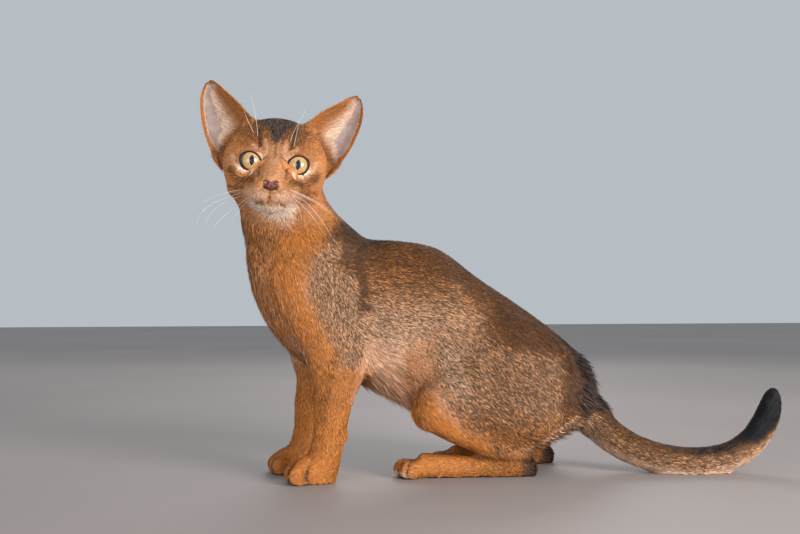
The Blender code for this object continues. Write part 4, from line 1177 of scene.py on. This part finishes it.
def grow(name, chosen, seed):
    """Covers the chosen triangles of the hide with tufts, as one coat piece."""
    draw = np.random.default_rng(seed)
    odds = growth[chosen]
    tufts = int(min(odds.sum(), MOST_TUFTS))
    picked = np.searchsorted(np.cumsum(odds) / odds.sum(), draw.uniform(size=tufts))
    picked = chosen[picked.clip(0, len(chosen) - 1)]
    s, t = draw.uniform(size=tufts), draw.uniform(size=tufts)
    over = s + t > 1
    s[over], t[over] = 1 - s[over], 1 - t[over]
    mix = np.stack((1 - s - t, s, t), axis=1)[:, :, None]
    three = triangles[picked]

    def at_root(values):
        held = values[three] if values.ndim > 1 else values[three][:, :, None]
        return (held * mix).sum(axis=1)

    root, normal = at_root(points), unit(at_root(normals))
    way = at_root(flow)
    way = unit(way - normal * (way * normal).sum(axis=1, keepdims=True))
    across = np.cross(way, normal)
    sway = 0.16 * wave(root / MM, 9.0, seed) + draw.normal(0, 0.13, tufts)
    way = unit(way * np.cos(sway)[:, None] + across * np.sin(sway)[:, None])
    freed = at_root(loose) * draw.uniform(0.1, 1.1, (tufts, 1)).clip(0, 1)
    way = unit(way * (1 - freed) + unit(at_root(free_way) + draw.normal(0, 0.12, (tufts, 3))) * freed)
    length = at_root(hair_long)[:, 0] * draw.uniform(0.72, 1.22, tufts) * MM
    width = at_root(hair_wide)[:, 0] * draw.uniform(0.75, 1.25, tufts) * MM
    wild = at_root(fringe)[:, 0] * draw.uniform(0.2, 1.5, tufts)
    tall = at_root(stand)[:, 0] * (draw.uniform(0.5, 1.05, tufts) + wild * 0.8)
    tall = tall * (1 - 0.6 * freed[:, 0]) * MM
    tips, tip_normals = [root], [normal]
    here, heading = root, way
    for _ in range(2):
        aim_at = here + heading * (length * 0.5)[:, None]
        found = [hide_tree.find_nearest(Vector(p)) for p in aim_at]
        here = np.array([f[0] for f in found]) * (1 - freed) + aim_at * freed
        up_here = np.array([f[1] for f in found])
        heading = unit(heading - up_here * (heading * up_here).sum(axis=1, keepdims=True) * (1 - freed))
        tips.append(here)
        tip_normals.append(unit(up_here * 0.6 + tip_normals[-1] * 0.4))
    facing = np.array(tip_normals)
    stops = HAIR_STOPS[:, None, None]
    raised = -ROOT_SUNK * MM * (1 - stops) + tall[:, None] * np.sin(stops * math.pi / 2) ** 1.2
    line = np.array(tips) + facing * raised
    run = np.gradient(line, axis=0)
    lean = np.cross(unit(run), facing)
    facing = unit(facing + lean * draw.normal(0, 0.22, (1, tufts, 1)))
    lean = unit(np.cross(unit(run), facing))
    half = (HAIR_WIDTHS[:, None] * width / 2)[:, :, None]
    rings = np.stack([line[stop] + lean[stop] * half[stop] * side_sign
                      for stop, side_sign in zip(BLADE_STOP, BLADE_SIDE)], axis=1)
    rings[:, :, 2] = np.maximum(rings[:, :, 2], LOWEST)
    blades = (BLADE[None] + 5 * np.arange(tufts)[:, None, None]).reshape(-1, 3)
    row_marks = np.repeat(np.clip(at_root(marks), 0, 1), 5, axis=0)
    row_hair = np.stack((np.tile(HAIR_STOPS[BLADE_STOP], tufts), np.tile(BLADE_SIDE, tufts),
                         np.repeat(draw.uniform(size=tufts), 5)), axis=1)
    flat = np.repeat(map_places(root, chosen), 5, axis=0)
    flat = flat + np.stack((row_hair[:, 1] * PATCH / 2, (row_hair[:, 0] - 0.5) * PATCH), axis=1)
    coat_mesh(name, rings.reshape(-1, 3), blades, row_marks, row_hair, np.clip(flat, 0, 1))


def region(starts):
    """The triangles on nodes whose names begin so."""
    return np.isin(face_region, [k for k, node in enumerate(NODE_ORDER) if node.startswith(starts)])


in_front = region("head") & (face_forward > -13.0)
COAT_PIECES = (
    ("coat_face", in_front, "ruddy_coat"),
    ("coat_crown", region("head") & ~in_front, "ruddy_coat"),
    ("coat_ears", region("ear"), "ruddy_coat"),
    ("coat_neck", region("neck"), "ruddy_coat"),
    ("coat_trunk_left", region("trunk") & (face_middle[:, 1] < 6.0), "ticked_coat"),
    ("coat_trunk_right", region("trunk") & (face_middle[:, 1] >= 6.0), "ticked_coat"),
    ("coat_forelegs", region(("shoulder", "fore")), "ruddy_coat"),
    ("coat_thighs", region("thigh"), "ticked_coat"),
    ("coat_hind_feet", region("hind_foot"), "ruddy_coat"),
    ("coat_tail", region("tail"), "ticked_coat"),
)
for seed, (coat_name, where, coat_slot) in enumerate(COAT_PIECES):
    grow(coat_name, np.flatnonzero(where & (growth > 0)), 11 + seed)


# ---------------------------------------------------------------- the whiskers
# Stiff white hairs, thick at the root and drawn out to a point, which curve out and down from the pads of
# the upper lip, with two pairs over the eyes.
WHISKERS = (    # root, middle and tip on the face's plane, mm to the left and up
    ((-17.3, -20.7), (-32.4, -24.8), (-49.5, -34)), ((-18.7, -22.9), (-42.1, -34.6), (-48.3, -48.1)),
    ((-17, -24.3), (-36.4, -34.9), (-43.2, -50.9)), ((-15.2, -25.8), (-31.8, -41), (-37.9, -50.9)),
    ((-15.1, -27.4), (-23.8, -39.5), (-23.7, -46)), ((11.7, -17.9), (23.3, -20.9), (39.4, -28.5)),
    ((13.5, -19.3), (27.6, -23.8), (42.2, -32.4)), ((14.8, -21.6), (29, -30.2), (45.3, -50.8)),
    ((14.6, -23.2), (27.6, -33.6), (36.8, -45.8)), ((14.5, -24.9), (19.3, -31), (22, -38.9)),
    ((-13, 15), (-15.4, 29.4), (-20.4, 45.2)), ((-15.7, 18), (-21.3, 27.3), (-24.4, 35.1)),
    ((9.9, 13.7), (11.6, 21.9), (19.1, 38.8)), ((11.8, 9.8), (13.9, 23.7), (14.6, 29.5)),
)
WHISKER_ROOT = 0.13             # half the thickness at the root and at the tip, mm
WHISKER_TIP = 0.03
whisker_finish, whisker_shader, whisker_start = finish_start("whisker")
whisker_place = whisker_start.coordinates()
whisker_colour = whisker_place.noise(300.0, 1.0).mix((0.84, 0.80, 0.74), (0.92, 0.90, 0.87))
feed(whisker_shader, {"Base Color": whisker_colour, "Roughness": 0.35})
face_ahead = np.array([0.0, math.cos(VIEW_TILT), -math.sin(VIEW_TILT)])
face_above = np.array([0.0, math.sin(VIEW_TILT), math.cos(VIEW_TILT)])
whiskers = bmesh.new()
for whisker in WHISKERS:
    out, high = whisker[0]
    start_at = from_head(face_above * high + face_ahead * 60.0 + (out, 0.0, 0.0))
    look = -face_ahead @ HEAD_AXES
    root_at = in_head(np.array([hide_tree.ray_cast(Vector(start_at), Vector(look))[0]]))[0]
    sunk = root_at @ face_ahead - 0.6
    rows = [face_above * v + face_ahead * (sunk + ahead) + (u, 0.0, 0.0)
            for (u, v), ahead in zip(whisker, (0.0, 3.5, 1.5))]
    one = bmesh.new()
    bmesh.ops.create_cone(one, cap_ends=True, segments=5, radius1=WHISKER_ROOT * MM,
                          radius2=WHISKER_TIP * MM, depth=1.0)
    long_edges = [e for e in one.edges if abs(e.verts[0].co.z - e.verts[1].co.z) > 0.5]
    bmesh.ops.subdivide_edges(one, edges=long_edges, cuts=9, use_grid_fill=True)
    for vert in one.verts:
        t = min(max(vert.co.z + 0.5, 0.0), 1.0)
        way = rows[0] * (4 * t - 3) + rows[1] * (4 - 8 * t) + rows[2] * (4 * t - 1)
        side_way = unit(np.cross(way, face_ahead))
        near_way = unit(np.cross(side_way, way))
        on_line = rows[0] * (2 * t - 1) * (t - 1) + rows[1] * 4 * t * (1 - t) + rows[2] * t * (2 * t - 1)
        vert.co = Vector(from_head(on_line + (side_way * vert.co.x + near_way * vert.co.y) / MM))
    take_in(whiskers, mesh_from(one, "whisker"))
bmesh.ops.recalc_face_normals(whiskers, faces=whiskers.faces)
whisker_piece = object_from(mesh_from(whiskers, "whiskers"), "whiskers", whisker_finish)
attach(whisker_piece, "root")


low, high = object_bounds()
